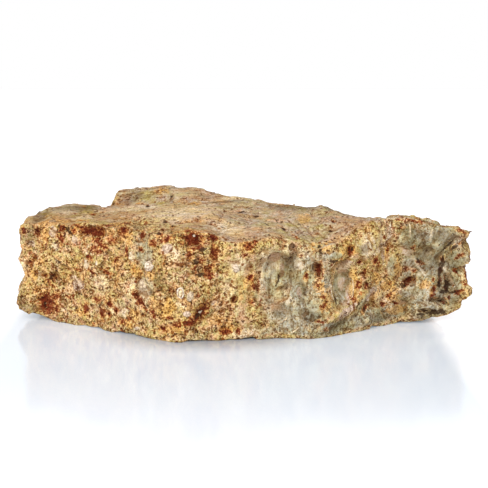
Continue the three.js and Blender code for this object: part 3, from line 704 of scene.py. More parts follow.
def sand_tree(name, material):
    """Scatters angular grains, half sunk in the surface, where it is rough."""
    inputs = GEOMETRY | {"Spacing": number(), "Radius": number(), "On Top": number(), "Seed": SEED}
    nodes, given, made = new_group("GeometryNodeTree", name, inputs, GEOMETRY)
    place = nodes.add("GeometryNodeInputPosition").outputs[0]
    patches = nodes.smooth(nodes.noise(place, 9 * MM, 2), 0.36, 0.58)
    share = nodes.times(nodes.lerp(nodes.upper_face(), 1, given["On Top"]), nodes.lerp(patches, 0.35, 1))
    share = nodes.times(share, nodes.lerp(nodes.noted("polish"), 1, 0.12))
    share = nodes.times(share, nodes.lerp(nodes.noted("calm"), 1, 0.3))
    share = nodes.times(share, nodes.smooth(nodes.part(place, "Z"), 1.2 * MM, 2.4 * MM))

    def chance(low, high, shift):
        return random_number(nodes, low, high, nodes.plus(given["Seed"], shift))

    ball = nodes.add("GeometryNodeMeshIcoSphere", {"Radius": 1.0, "Subdivisions": 1}).outputs[0]
    size = nodes.times(given["Radius"], chance(0.45, 1.25, 11))
    size_x = nodes.times(size, chance(0.7, 1.35, 12))
    size_z = nodes.times(size, chance(0.55, 1.0, 13))
    turns = nodes.point(*(chance(0, FULL_TURN, shift) for shift in (14, 15, 16)))
    points = spread_points(nodes, given, share, SAND_DENSITY)["Points"]
    grains = set_out(nodes, points, ball, turns, nodes.point(size_x, size, size_z), chance(0, 1, 17))
    gnarl = nodes.vector("SUBTRACT", nodes.noise(place, 0.8 * MM, 1, 0.5, output=1), HALF)
    shift = nodes.scaled(gnarl, nodes.times(given["Radius"], 1.3))
    gnarled = nodes.add("GeometryNodeSetPosition", {"Geometry": grains, "Offset": shift})
    dressed = nodes.add("GeometryNodeSetMaterial", {"Geometry": gnarled.outputs[0], "Material": material})
    nodes.feed(made["Geometry"], dressed.outputs[0])
    return nodes.tree


def shell_tree(material):
    """Scatters shell fragments flat on the broken faces, each turned its own way."""
    inputs = GEOMETRY | {"Spacing": number(), "Size": number(), "Seed": SEED}
    inputs["Fragment"] = ("NodeSocketObject", None)
    nodes, given, made = new_group("GeometryNodeTree", "Shell fragments", inputs, GEOMETRY)
    place = nodes.add("GeometryNodeInputPosition").outputs[0]
    share = nodes.times(nodes.lerp(nodes.smooth(nodes.noted("upward"), 0.5, 0.8), 1, 0.15),
                        nodes.smooth(nodes.part(place, "Z"), 3 * MM, 5 * MM))
    share = nodes.times(share, nodes.smooth(nodes.part(place, "Y"), -0.02, 0.01))
    spread = spread_points(nodes, given, share, SHELL_DENSITY)
    fragment = nodes.add("GeometryNodeObjectInfo", {"Object": given["Fragment"]}).outputs["Geometry"]
    turns = ((-0.5, 0.5, 21), (-0.5, 0.5, 22), (0, FULL_TURN, 23))
    spin = nodes.point(*(random_number(nodes, *turn) for turn in turns))
    spun = nodes.add("FunctionNodeRotateRotation", {0: spread["Rotation"], 1: spin}, rotation_space="LOCAL")
    scale = nodes.times(given["Size"], random_number(nodes, 0.5, 1.2, 24))
    tone = random_number(nodes, 0, 1, 25)
    strewn = set_out(nodes, spread["Points"], fragment, spun.outputs[0], scale, tone)
    dressed = nodes.add("GeometryNodeSetMaterial", {"Geometry": strewn, "Material": material})
    nodes.feed(made["Geometry"], dressed.outputs[0])
    return nodes.tree


# Finishes

def ragged_edge_group():
    """Turns a soft spot into a mark with a frayed edge, for stains and for painted shade alike."""
    inputs = {"Vector": VECTOR} | {name: number() for name in ("Spot", "Fray Size", "Fray", "Level")}
    nodes, given, made = new_group("ShaderNodeTree", "Ragged edge", inputs, {"Mask": number()})
    fray = nodes.noise(given["Vector"], given["Fray Size"], 4, 0.7)
    shift = nodes.times(nodes.minus(fray, 0.5), given["Fray"])
    total = nodes.plus(given["Spot"], nodes.times(shift, 2))
    high = nodes.plus(given["Level"], 0.14)
    nodes.feed(made["Mask"], nodes.smooth(total, given["Level"], high))
    return nodes.tree


def grain_tone_group():
    """Sand as the eye meets it: a tone for each grain, and dark specks between some of them."""
    inputs = {"Vector": VECTOR, "Grain": number(0.6 * MM), "Speck": number(1.15 * MM)}
    outputs = {name: number() for name in ("Tone", "Height", "Glint", "Speck", "Chance", "Hue", "Grit")}
    nodes, given, made = new_group("ShaderNodeTree", "Grain tone", inputs, outputs)
    grains = nodes.cells(given["Vector"], given["Grain"])
    specks = nodes.cells(nodes.vector("ADD", given["Vector"], (0.2, 0.1, 0.3)), given["Speck"])
    grit = nodes.noise(given["Vector"], 0.5 * MM, 2, 0.7)
    own = nodes.part(grains.outputs["Color"], 0)
    nodes.feed(made["Tone"], nodes.lerp(0.25, own, nodes.smooth(grit, 0.3, 0.7)))
    chance = nodes.part(specks.outputs["Color"], 1)
    hole = nodes.times(nodes.smooth(specks.outputs["Distance"], 0.45, 0.2), nodes.smooth(chance, 0.4, 0.8))
    nodes.feed(made["Height"], nodes.minus(nodes.plus(own, grit), hole))
    nodes.feed(made["Glint"], nodes.smooth(nodes.part(grains.outputs["Color"], 1), 0.9, 0.95))
    nodes.feed(made["Speck"], specks.outputs["Distance"])
    nodes.feed(made["Chance"], chance)
    nodes.feed(made["Hue"], nodes.part(specks.outputs["Color"], 0))
    nodes.feed(made["Grit"], nodes.smooth(nodes.noise(given["Vector"], 0.56 * MM, 1, 0.5), 0.36, 0.64))
    return nodes.tree


def limestone_colour_group(colours, ragged):
    """The limestone's colour for a grain of some tone, with the stains noted on the surface, and painted
    light and shade in noted zones, holes and hollows.
    """
    inputs = {
        "Vector": VECTOR, "Tone": number(0.5), "Speck": number(1), "Chance": number(), "Hue": number(),
        "Grit": number(0.5),
    }
    outputs = {"Color": ("NodeSocketColor", None), "Wet": number()}
    nodes, given, made = new_group("ShaderNodeTree", "Limestone colour", inputs, outputs)
    place, tone, noted = given["Vector"], given["Tone"], nodes.noted

    # a frayed mask from a noted spot, used for real stains and for the painted shade of the dark marks
    def stain(spot, fray_size, fray, level):
        sockets = {"Vector": place, "Spot": spot, "Fray Size": fray_size, "Fray": fray, "Level": level}
        return place_group(nodes, ragged, sockets)["Mask"]

    def tint(shade, factor):
        return nodes.blend(1.0, shade, factor, "MULTIPLY")

    def toned(shade, contrast=1.0):
        """A colour darkened to the grain's tone, towards brown."""
        return tint(shade, nodes.ramp(nodes.lerp(contrast, 0.68, tone), [
            (0.0, srgb(66, 32, 4)), (0.16, srgb(142, 104, 56)), (0.36, srgb(240, 228, 206)),
            (0.6, srgb(253, 251, 246)), (0.76, (1.0, 1.0, 1.01)), (0.9, (1.03, 1.05, 1.08)),
        ]))

    def specked(shade, dark, cover, reach):
        """Dark specks on a share of the specks' places."""
        chosen = nodes.smooth(given["Chance"], nodes.minus(1, cover), nodes.minus(1.06, cover))
        shape = nodes.smooth(given["Speck"], reach, nodes.minus(reach, 0.22))
        return nodes.blend(nodes.times(nodes.times(shape, chosen), 0.9), shade, dark)

    def under(name, strength, shade, fray_size=2.2 * MM, fray=0.6, level=0.36, contrast=0.7):
        """A shade with the stain of some name laid over it."""
        mask = nodes.times(stain(noted(name), fray_size, fray, level), strength)
        return nodes.blend(mask, shade, toned(getattr(colours, name), contrast))

    polish, fine = noted("polish"), noted("calm")
    broad = nodes.noise(place, 26 * MM, 2)
    middling = nodes.noise(place, 6 * MM, 3, 0.6)
    patches = nodes.noise(place, 3.4 * MM, 3, 0.6, shift=(0.3, 0.1, 0.2))
    small = nodes.noise(place, 1.8 * MM, 3, 0.6, shift=(0.1, 0.4, 0.2))
    top = nodes.upper_face()

    # broken faces: soft patches of rosy, tan, olive and golden sand, greyer where noted
    mixed = nodes.lerp(nodes.times(fine, 0.6), nodes.lerp(0.4, middling, patches), 0.47)
    body = nodes.ramp(mixed, [
        (0.36, colours.rose), (0.43, colours.tan), (0.49, colours.olive), (0.55, colours.tan),
        (0.66, colours.gold),
    ])
    grey = nodes.blend(nodes.smooth(patches, 0.45, 0.62), colours.grey, colours.beige)
    greyness = nodes.plus(noted("grey"), nodes.times(nodes.minus(broad, 0.5), 0.7))
    greyness = nodes.smooth(greyness, 0.16, 0.55)
    body = nodes.blend(nodes.times(greyness, 0.95), body, grey)

    # grey rock parts along steep planes, which lean over towards the right end
    lean = nodes.times(nodes.smooth(nodes.part(place, "X"), 0.035, 0.06), math.radians(-30))
    fibres = nodes.vector("MULTIPLY", nodes.turned(place, lean, "Y_AXIS"), (1, 1, 1 / 5))
    planes = nodes.noise(fibres, 1.0 * MM, 3, 0.6)
    parting = nodes.times(nodes.smooth(planes, 0.54, 0.36), greyness)
    body = nodes.blend(parting, body, tint(body, srgb(206, 190, 166)))

    # upper face: soft patches, and streaks of the thin beds that swing round on the right
    along = nodes.vector("MULTIPLY", place, (1 / 7, 1, 1))
    turned = nodes.turned(place, math.radians(-72), "Z_AXIS")
    across = nodes.vector("MULTIPLY", turned, (1 / 9, 1, 1))
    swing = nodes.smooth(nodes.part(place, "X"), -0.01, 0.03)
    streaks = nodes.lerp(swing, nodes.noise(along, 1.7 * MM, 3, 0.6), nodes.noise(across, 0.9 * MM, 3, 0.6))
    bedding = nodes.ramp(nodes.lerp(0.5, broad, middling), [
        (0.36, colours.olive), (0.46, colours.bedding), (0.56, colours.rose), (0.66, colours.bedding),
    ])
    bedding = nodes.blend(nodes.smooth(streaks, 0.5, 0.3), bedding, tint(bedding, srgb(196, 178, 158)))
    left = nodes.times(nodes.smooth(nodes.part(place, "X"), -0.005, -0.035),
                       nodes.smooth(nodes.part(place, "Y"), 0.02, 0.006))
    bedding = nodes.blend(left, bedding, tint(bedding, srgb(255, 243, 222)))
    body = nodes.blend(top, body, tint(bedding, srgb(243, 244, 240)))

    # browner and darker patches, then the grains
    browner = tint(body, nodes.ramp(nodes.lerp(0.5, patches, small), [
        (0.36, srgb(208, 190, 164)), (0.5, srgb(238, 231, 220)), (0.6, (1, 1, 1)),
    ]))
    quiet = nodes.most(fine, greyness)
    body = nodes.blend(nodes.lerp(quiet, 1, 0.4), tint(body, srgb(238, 231, 220)), browner)
    smoothness = nodes.most(polish, top)
    smoothed = nodes.times(nodes.lerp(smoothness, 1, 0.72), nodes.lerp(quiet, 1, 0.8))
    shade = toned(body, smoothed)

    # clusters of brown crumbs
    crumbs = nodes.noise(place, 1.2 * MM, 2, 0.6, shift=(0.4, 0.2, 0.1))
    gather = nodes.smooth(nodes.noise(place, 9 * MM, 2, shift=(0.7, 0.1, 0.5)), 0.4, 0.62)
    edge = nodes.lerp(gather, 0.66, 0.56)
    crumb = nodes.times(nodes.smooth(crumbs, edge, nodes.plus(edge, 0.045)),
                        nodes.lerp(nodes.most(smoothness, fine), 0.75, 0.3))
    shade = nodes.blend(crumb, shade, tint(shade, srgb(106, 62, 26)))

    # lighter ground, partly paler rock and partly painted light that lifts places left too dark by shade,
    # then calcite and grit
    # painted light mixed with paler ground: the noted light zones turn a warm pale colour
    glow = nodes.times(nodes.smooth(noted("light"), 0, 0.9), 0.56)
    shade = nodes.blend(glow, shade, toned((1.06, 0.9, 0.6), 0.7))
    shade = under("pale", 0.7, shade)
    shade = under("lilac", 0.8, shade)

    # yellow stain, rust with its orange rim, its dark heart, and dark specks all over
    iron = noted("iron")
    shade = under("ochre", 0.62, shade, 1.3 * MM, 1.3, 0.4, 1.0)
    rim = nodes.times(stain(iron, 1.5 * MM, 1.0, 0.3), 0.5)
    shade = nodes.blend(rim, shade, toned(colours.ochre))
    strewn = nodes.noise(place, 2.4 * MM, 4, 0.7, shift=(0.2, 0.8, 0.4))
    where = nodes.smooth(nodes.noise(place, 13 * MM, 2, shift=(0.6, 0.3, 0.9)), 0.4, 0.6)
    edge = nodes.lerp(where, 0.66, 0.575)
    off = nodes.most(nodes.most(greyness, smoothness), fine)
    strewn = nodes.times(nodes.smooth(strewn, edge, nodes.plus(edge, 0.04)), nodes.lerp(off, 1, 0.1))
    rust = nodes.most(stain(iron, 0.9 * MM, 1.5, 0.47), strewn)
    shade = nodes.blend(nodes.times(rust, nodes.lerp(greyness, 0.85, 0.62)), shade, toned(colours.rust))
    crowd = nodes.times(nodes.smooth(middling, 0.42, 0.62), nodes.smooth(small, 0.4, 0.6))
    still = nodes.most(nodes.times(top, 0.45), polish)
    still = nodes.most(still, nodes.times(quiet, 0.65))
    calm = nodes.lerp(still, 1, 0.15)
    cover = nodes.lerp(rust, nodes.times(nodes.lerp(crowd, 0.12, 0.62), calm), 0.74)
    warm = nodes.blend(given["Hue"], srgb(62, 28, 6), srgb(136, 76, 26))
    cool = nodes.blend(given["Hue"], srgb(82, 62, 36), srgb(132, 106, 72))
    brown = nodes.blend(greyness, warm, cool)
    dark = nodes.blend(nodes.times(rust, nodes.lerp(greyness, 1, 0.5)), brown, colours.oxide)
    shade = specked(shade, dark, cover, nodes.lerp(rust, nodes.lerp(given["Hue"], 0.62, 0.84), 0.75))
    flecks = nodes.noise(place, 0.75 * MM, 2, 0.6, shift=(0.9, 0.3, 0.6))
    edge = nodes.lerp(nodes.times(crowd, calm), 0.67, 0.53)
    fleck = nodes.smooth(flecks, edge, nodes.plus(edge, 0.035))
    shade = nodes.blend(nodes.times(fleck, 0.86), shade, brown)

    # thin dark seams between the grains
    weave = nodes.noise(place, 1.4 * MM, 2, 0.6, shift=(0.5, 0.6, 0.1))
    seam = nodes.smooth(nodes.value("ABSOLUTE", nodes.minus(weave, 0.5)), 0.06, 0.02)
    seam = nodes.times(nodes.times(seam, nodes.smooth(small, 0.42, 0.56)), calm)
    shade = nodes.blend(nodes.times(seam, 0.8), shade, tint(shade, srgb(116, 74, 32)))
    heart = nodes.most(nodes.times(stain(iron, 0.9 * MM, 1.5, 0.72), 0.88),
                       nodes.times(stain(noted("oxide"), 0.8 * MM, 1.3, 0.46), 0.86))
    shade = nodes.blend(heart, shade, toned(colours.oxide))

    # shell white, dark holes and cracks painted with their shade, dusky zones of darker rock and painted
    # shade, painted shade in the hollows, and lighter convex ridges
    shade = nodes.blend(stain(noted("white"), 1.5 * MM, 0.2, 0.4), shade, colours.shell)
    # painted shade: the noted dark marks in holes, pits and cracks turn nearly black-brown, and so do a few
    # dark stains
    shade = nodes.blend(nodes.times(stain(noted("dark"), 1.0 * MM, 0.8, 0.4), 0.9), shade, colours.pit)
    # painted shade mixed with darker rock: the noted dusky zones, broken up by the patches' noise, darken
    # towards grey-brown
    dusk = nodes.plus(noted("dusk"), nodes.times(nodes.minus(patches, 0.5), 0.6))
    dusk = nodes.times(nodes.smooth(dusk, 0.1, 0.7), 0.66)
    shade = nodes.blend(dusk, shade, tint(shade, srgb(168, 160, 150)))
    cavity = noted("cavity")
    # painted shade: darker and browner in the small cavities and across the large hollows of the skin, taken
    # from its geometry
    deep = nodes.most(nodes.times(nodes.smooth(cavity, 0.02, 0.14), 0.66),
                      nodes.times(nodes.smooth(noted("hollow"), 0.15, 0.9), 0.5))
    shade = nodes.blend(deep, shade, tint(shade, (0.46, 0.28, 0.14)))
    # lighter on convex ridges, where the skin bulges out
    worn = nodes.times(nodes.smooth(cavity, -0.03, -0.15), nodes.lerp(greyness, 0.4, 1))
    shade = nodes.blend(worn, shade, tint(shade, (1.09, 1.085, 1.07)))

    # grit, which runs in threads on grey rock and on top, and a yellow or greyish tinge
    threads = nodes.lerp(top, nodes.noise(fibres, 0.6 * MM, 2, 0.6),
                         nodes.noise(nodes.vector("MULTIPLY", place, (1, 0.5, 1)), 0.8 * MM, 2, 0.6))
    threads = nodes.smooth(threads, 0.34, 0.66)
    grit = nodes.lerp(nodes.most(greyness, top), given["Grit"], threads)
    grit = nodes.lerp(nodes.most(nodes.times(top, 0.45), nodes.times(quiet, 0.5)), grit, 0.5)
    shade = nodes.blend(grit, tint(shade, (0.81, 0.765, 0.68)), tint(shade, (1.02, 1.06, 1.12)))
    tinge = nodes.smooth(nodes.noise(place, 8 * MM, 2, 0.5, shift=(0.3, 0.9, 0.2)), 0.34, 0.66)
    shade = nodes.blend(tinge, tint(shade, (1, 0.985, 0.87)), tint(shade, (0.99, 0.995, 1.14)))
    nodes.feed(made["Color"], shade)
    nodes.feed(made["Wet"], nodes.most(noted("lilac"), noted("pale")))
    return nodes.tree


def new_material(name):
    """A new material's tree, its Principled BSDF and the place that its patterns read."""
    material = bpy.data.materials.new(name)
    material.use_nodes = True
    nodes = Nodes(material.node_tree)
    place = nodes.add("ShaderNodeTexCoord").outputs["Object"]
    return nodes, material.node_tree.nodes["Principled BSDF"], place


def limestone_material(colour_group, grain_group):
    """Broken limestone: sand and shell grit of many tones, each grain with its own relief."""
    nodes, shader, place = new_material("broken limestone")
    grains = place_group(nodes, grain_group, {"Vector": place})
    given = {"Vector": place} | {name: grains[name] for name in ("Tone", "Speck", "Chance", "Hue", "Grit")}
    made = place_group(nodes, colour_group, given)
    dull = nodes.lerp(grains["Glint"], 0.93, 0.5)
    calcite = nodes.times(nodes.smooth(made["Wet"], 0.3, 0.8), 0.35)
    nodes.feed(shader.inputs["Base Color"], made["Color"])
    nodes.feed(shader.inputs["Roughness"], nodes.minus(dull, calcite))
    shader.inputs["Specular IOR Level"].default_value = 0.14
    nodes.feed(shader.inputs["Normal"], nodes.bump(grains["Height"], 0.5, 0.16 * MM))


def sand_material(colour_group):
    """One tone for each loose grain, with the stain of the ground it lies on."""
    nodes, shader, place = new_material("sand grain")
    tone = nodes.noted("tone")
    mottle = nodes.times(nodes.minus(nodes.noise(place, 0.5 * MM, 2), 0.5), 0.5)
    own = nodes.plus(nodes.lerp(tone, 0.08, 0.72), mottle)
    made = place_group(nodes, colour_group, {"Vector": place, "Tone": own, "Speck": 1})
    nodes.feed(shader.inputs["Base Color"], made["Color"])
    nodes.feed(shader.inputs["Roughness"], nodes.lerp(nodes.smooth(tone, 0.86, 0.94), 0.9, 0.45))
    shader.inputs["Specular IOR Level"].default_value = 0.2


def shell_material(colours):
    """Weathered shell: off-white with growth lines and a sandy film."""
    nodes, shader, place = new_material("weathered shell")
    tone = nodes.noted("tone")
    own = nodes.ramp(tone, [
        (0.1, colours.tan), (0.45, colours.pale), (0.75, colours.lilac), (0.95, colours.shell),
    ])
    film = nodes.smooth(nodes.noise(place, 0.9 * MM, 3, 0.65), 0.5, 0.62)
    veins = nodes.smooth(nodes.noise(place, 0.8 * MM, 2, 0.6), 0.36, 0.62)
    own = nodes.blend(1.0, own, nodes.blend(veins, srgb(158, 142, 130), srgb(252, 248, 242)), "MULTIPLY")
    clean = nodes.lerp(nodes.smooth(tone, 0.9, 0.96), 0.45, 0.1)
    shade = nodes.blend(nodes.times(film, clean), own, srgb(168, 132, 92))
    nodes.feed(shader.inputs["Base Color"], shade)
    nodes.feed(shader.inputs["Roughness"], nodes.lerp(film, 0.45, 0.9))
    nodes.feed(shader.inputs["Normal"], nodes.bump(nodes.noise(place, 0.35 * MM, 1), 0.6, 0.1 * MM))


def table_material():
    """A white glossy table top with a soft mirror image, darker round the stone as a painted shadow, and a
    painted glow from its own emission that is kept off near the stone and washes out the stone's cast shadows
    beside, behind and in front of it.
    """
    nodes, shader, place = new_material("white table")
    smudge = nodes.noise(place, 120 * MM, 2)
    nodes.feed(shader.inputs["Roughness"], nodes.lerp(smudge, 0.1, 0.16))
    shader.inputs["Specular IOR Level"].default_value = 0.45
    away = nodes.vector("ADD", place, (0.014, 0.04, 0))
    reach = nodes.vector("LENGTH", nodes.vector("MULTIPLY", away, (1 / 0.1, 1 / 0.06, 0)))
    # painted shadow: 0 in the ellipse under and round the stone, where the colour darkens and the painted
    # glow fades, 1 beyond it
    clear = nodes.smooth(reach, 0.2, 0.56)
    # painted light: the zones beside, behind and in front of the stone where the emission glows strongly and
    # washes out its cast shadows
    sideways = nodes.value("ABSOLUTE", nodes.plus(nodes.part(place, "X"), 0.01))
    beside = nodes.smooth(sideways, 0.087, 0.099)
    behind = nodes.smooth(nodes.part(away, "Y"), 0.04, 0.07)
    before = nodes.times(nodes.smooth(nodes.part(away, "Y"), -0.05, -0.16), 0.3)
    painted_glow_zone = nodes.most(nodes.most(beside, behind), before)
    # painted shadow: a dark bluish colour near the stone, the near-white further out
    nodes.feed(shader.inputs["Base Color"], nodes.blend(clear, (0.4, 0.43, 0.48), (0.765, 0.775, 0.8)))
    # painted light: no glow under the stone, a faint bluish glow round it that cancels the stone's warm
    # bounce light, and a strong glow in the zones beside, behind and in front
    glow = nodes.blend(painted_glow_zone, nodes.blend(clear, (0, 0, 0), (0.075, 0.12, 0.17)), (0.46, 0.47, 0.5))
    nodes.feed(shader.inputs["Emission Color"], glow)
    shader.inputs["Emission Strength"].default_value = 1


# Making and finishing meshes

def link(piece):
    bpy.context.scene.collection.objects.link(piece)
    return piece


def settle(piece):
    """Turns a piece and its modifiers into a plain mesh."""
    bpy.context.view_layer.update()
    depsgraph = bpy.context.evaluated_depsgraph_get()
    ready = piece.evaluated_get(depsgraph)
    mesh = bpy.data.meshes.new_from_object(ready, preserve_all_data_layers=True, depsgraph=depsgraph)
    piece.modifiers.clear()
    piece.data = mesh
    return piece


def run_tree(piece, tree, values=()):
    """Runs a geometry node tree on a piece with its named inputs set."""
    modifier = piece.modifiers.new(tree.name, "NODES")
    modifier.node_group = tree
    for socket in tree.interface.items_tree:
        if socket.in_out == "INPUT" and socket.name in values:
            modifier[socket.identifier] = values[socket.name]
    return settle(piece)


def triangle_count(mesh):
    return sum(len(polygon.vertices) - 2 for polygon in mesh.polygons)


def facing(normals, side, low, high):
    """How squarely each point faces a side, as a share between two steps."""
    _, _, axis, way = SIDES[side]
    return np.clip((normals[:, axis] * way - low) / (high - low), 0, 1)


def oval(places, side, mark):
    """The squared distance of each point from the middle of a spot or form, 1 on its edge."""
    first, second = SIDES[side][:2]
    turn = math.radians(mark.turn)
    dx = places[:, first] / MM - mark.x
    dz = places[:, second] / MM - mark.z
    along = (dx * math.cos(turn) + dz * math.sin(turn)) / mark.half_x
    across = (dz * math.cos(turn) - dx * math.sin(turn)) / mark.half_z
    return along**2 + across**2


def soft_spots(places, normals, side, spots, grown=1.0):
    """How deep each point of a side lies in one of the spots: 1 in a middle, 0.37 on an edge."""
    deepest = np.zeros(len(places))
    for spot in starmap(Spot, spots):
        deepest = np.maximum(deepest, np.exp(-oval(places, side, spot) / grown**2))
    low = 0.2 if side == "front" else 0.4
    return deepest * facing(normals, side, low, low + 0.3)


def wander(places, size, reach):
    """Shifts points by a smooth noise, so that what is placed by them gets uneven edges."""
    shifts = [noise.noise_vector(Vector(place) / size) for place in places]
    return places + np.array(shifts) * reach


def press_forms(places, normals, scale):
    """Moves the points of each side by the forms placed on it."""
    uneven = wander(places, 3.2 * MM, 0.55 * MM)
    moved = places.copy()
    for side, forms in FORMS.items():
        height = np.zeros(len(places))
        for form in starmap(Form, forms):
            squared = oval(uneven, side, form)
            share = 1 / (1 + squared**3) if form.flat else np.exp(-squared)
            height += form.height * share
        axis, way = SIDES[side][2:]
        moved[:, axis] += way * height * scale * MM * facing(normals, side, 0, 0.4)
    return moved


def lift_foot(places):
    """Shifts the underside up to the foot line, and what lies above it less and less."""
    along, heights = zip(*FOOT_LINE)
    lift = np.interp(places[:, 0] / MM, along, heights) * MM
    places[:, 2] += lift * np.clip(1 - places[:, 2] / (14 * MM), 0, 1)


def wild_spots(counts, reach_x, reach_z, seed):
    """Stains for a side that no photograph shows, strewn by a fixed seed."""
    dice = random.Random(seed)
    strewn = {}
    for name, count in counts.items():
        for _ in range(count):
            half = dice.uniform(0.8, 3.2)
            half *= 3 if name in ("calm", "light", "dusk") else 1
            x, z = dice.uniform(*reach_x), dice.uniform(*reach_z)
            row = (x, z, half, half * dice.uniform(0.35, 1), dice.uniform(-90, 90))
            strewn.setdefault(name, []).append(row)
    return strewn


def bed_courses(places):
    """How many thin beds lie below each point, counted up from the resting face."""
    x, y, z = (places / MM).T
    lean = np.clip((x + 40) / 90, 0, 1)
    slow = np.array([noise.noise(Vector((px / 30, py / 30, 0.7))) for px, py in zip(x, y)])
    return (z + 0.11 * ((0.5 + 0.45 * lean) * x + (0.86 - 0.6 * lean) * y) + 1.1 * slow) / 0.85


def brokenness(places):
    """How surely each point lies in front of the break line, from 0 to 1."""
    along, across = zip(*BREAK_LINE)
    line = np.interp(places[:, 0] / MM, along, across)
    return np.clip((line - places[:, 1] / MM) / 3 + 0.5, 0, 1)


def note(mesh, name, values):
    """Writes one number for each point of a mesh as an attribute."""
    attribute = mesh.attributes.get(name) or mesh.attributes.new(name, "FLOAT", "POINT")
    attribute.data.foreach_set("value", values.astype(np.float32))


def note_zones(mesh, places, normals, uneven):
    """Notes the smooth spots of the front, the thin beds and the broken part of the stone."""
    note(mesh, "polish", soft_spots(uneven, normals, "front", POLISHED_SPOTS))
    note(mesh, "course", bed_courses(places))
    note(mesh, "broken", brokenness(wander(places, 5 * MM, 2 * MM)))


def points_of(mesh):
    places = np.empty(len(mesh.vertices) * 3, np.float32)
    mesh.vertices.foreach_get("co", places)
    normals = np.empty(len(mesh.vertices) * 3, np.float32)
    mesh.vertex_normals.foreach_get("vector", normals)
    return places.reshape(-1, 3).astype(float), normals.reshape(-1, 3).astype(float)


def stone_blank(cell):
    """The stone's solid as one even closed skin, with the facets' edges worn round."""
    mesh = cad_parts[NODE].data.copy()
    solid = bmesh.new()
    solid.from_mesh(mesh)
    bmesh.ops.remove_doubles(solid, verts=solid.verts, dist=0.001 * MM)
    solid.to_mesh(mesh)
    solid.free()
    mesh.materials.clear()
    piece = link(bpy.data.objects.new("limestone_stone", mesh))
    remesh = piece.modifiers.new("Even skin", "REMESH")
    remesh.mode = "VOXEL"
    remesh.voxel_size = cell
    wear = piece.modifiers.new("Wear", "SMOOTH")
    wear.factor = 0.5
    wear.iterations = 7
    return settle(piece)


def rides_on_stone(piece):
    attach(piece, BODY)
    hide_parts(NODE)


def shard_mesh():
    """A unit fragment of a ribbed valve: a thin curved plate with a broken outline."""
    shard = bmesh.new()
    columns, rows = 6, 4
    grid = []
    for j in range(rows + 1):
        for i in range(columns + 1):
            u, v = i / columns - 0.5, j / rows - 0.5
            edge = 1 - 0.25 * math.sin(5.1 * u + 2) * math.cos(7.3 * v)
            rib = 0.03 * math.cos(2 * math.pi * 3 * u)
            grid.append(shard.verts.new((u * edge, 0.62 * v * edge, 0.3 - 1.1 * (u * u + v * v) + rib)))
    for j in range(rows):
        for i in range(columns):
            a = j * (columns + 1) + i
            shard.faces.new([grid[a], grid[a + 1], grid[a + columns + 2], grid[a + columns + 1]])
    bmesh.ops.solidify(shard, geom=shard.faces[:], thickness=0.13)
    bmesh.ops.recalc_face_normals(shard, faces=shard.faces)
    mesh = bpy.data.meshes.new("shell shard")
    shard.to_mesh(mesh)
    shard.free()
    return mesh


# Pieces

class SPECIMEN_OT_stone(bpy.types.Operator):
    """Break the stone's surface and give it the limestone finish"""

    bl_idname = "specimen.stone"
    bl_label = "Stone"

    def execute(self, context):
        sizes = context.scene.specimen_stone
        piece = stone_blank(sizes.skin_cell)
        places, normals = points_of(piece.data)
        formed = press_forms(places, normals, sizes.form_scale)
        lift_foot(formed)
        rusted = soft_spots(places, normals, "front", FRONT_SPOTS["iron"])
        formed -= normals * (rusted * RUST_DEPTH)[:, None]
        piece.data.vertices.foreach_set("co", formed.astype(np.float32).ravel())
        piece.data.update()
        note_zones(piece.data, places, normals, places)
        values = {name: getattr(sizes, name.lower().replace(" ", "_")) for name in RELIEF_INPUTS}
        run_tree(piece, broken_relief_tree(), values)
        self.thin(piece, sizes.triangles)
        run_tree(piece, surface_mask_tree())
        self.stain(piece)
        piece.data.materials.clear()
        piece.data.materials.append(bpy.data.materials["broken limestone"])
        piece.data.shade_smooth()
        rides_on_stone(piece)
        return {"FINISHED"}

    def thin(self, piece, triangles):
        """Thins the skin out, and most of all where it lies flat or faces away."""
        _, normals = points_of(piece.data)
        plain = np.maximum(facing(normals, "back", 0, 0.5), 0.35 * facing(normals, "top", 0.5, 0.9))
        plain = np.maximum(plain, np.clip(-normals[:, 2] * 2, 0, 1))
        group = piece.vertex_groups.new(name="plain")
        for step in range(1, 11):
            share = step / 10
            chosen = np.flatnonzero(np.abs(plain - share) <= 0.05)
            group.add([int(index) for index in chosen], share, "REPLACE")
        thin = piece.modifiers.new("Thin", "DECIMATE")
        thin.vertex_group = "plain"
        thin.vertex_group_factor = 1
        thin.ratio = min(1, triangles / triangle_count(piece.data))
        settle(piece)
        piece.vertex_groups.clear()
        print("stone", triangle_count(piece.data), "triangles")

    def stain(self, piece):
        """Notes the stains, and the zones of painted light and shade, on the skin's points."""
        mesh = piece.data
        places, normals = points_of(mesh)
        uneven = wander(places, 2.4 * MM, 0.5 * MM)
        usual = {
            "iron": 46, "ochre": 24, "lilac": 12, "pale": 14, "dark": 16, "oxide": 14, "calm": 10,
            "light": 8, "dusk": 6,
        }
        few = {name: count // 3 for name, count in usual.items()}
        sides = {
            "front": FRONT_SPOTS,
            "top": TOP_SPOTS,
            "back": wild_spots(usual, (-96, 96), (3, 46), 3),
            "left": wild_spots(few, (-30, 50), (3, 42), 4),
            "right": wild_spots(few, (-25, 50), (3, 42), 5),
        }
        for name in FRONT_SPOTS:
            grown = 1.2 if name in ("iron", "ochre") else 1
            depths = [
                soft_spots(uneven, normals, side, spots.get(name, ()), grown) for side, spots in sides.items()
            ]
            note(mesh, name, np.max(depths, axis=0))
        note_zones(mesh, places, normals, uneven)


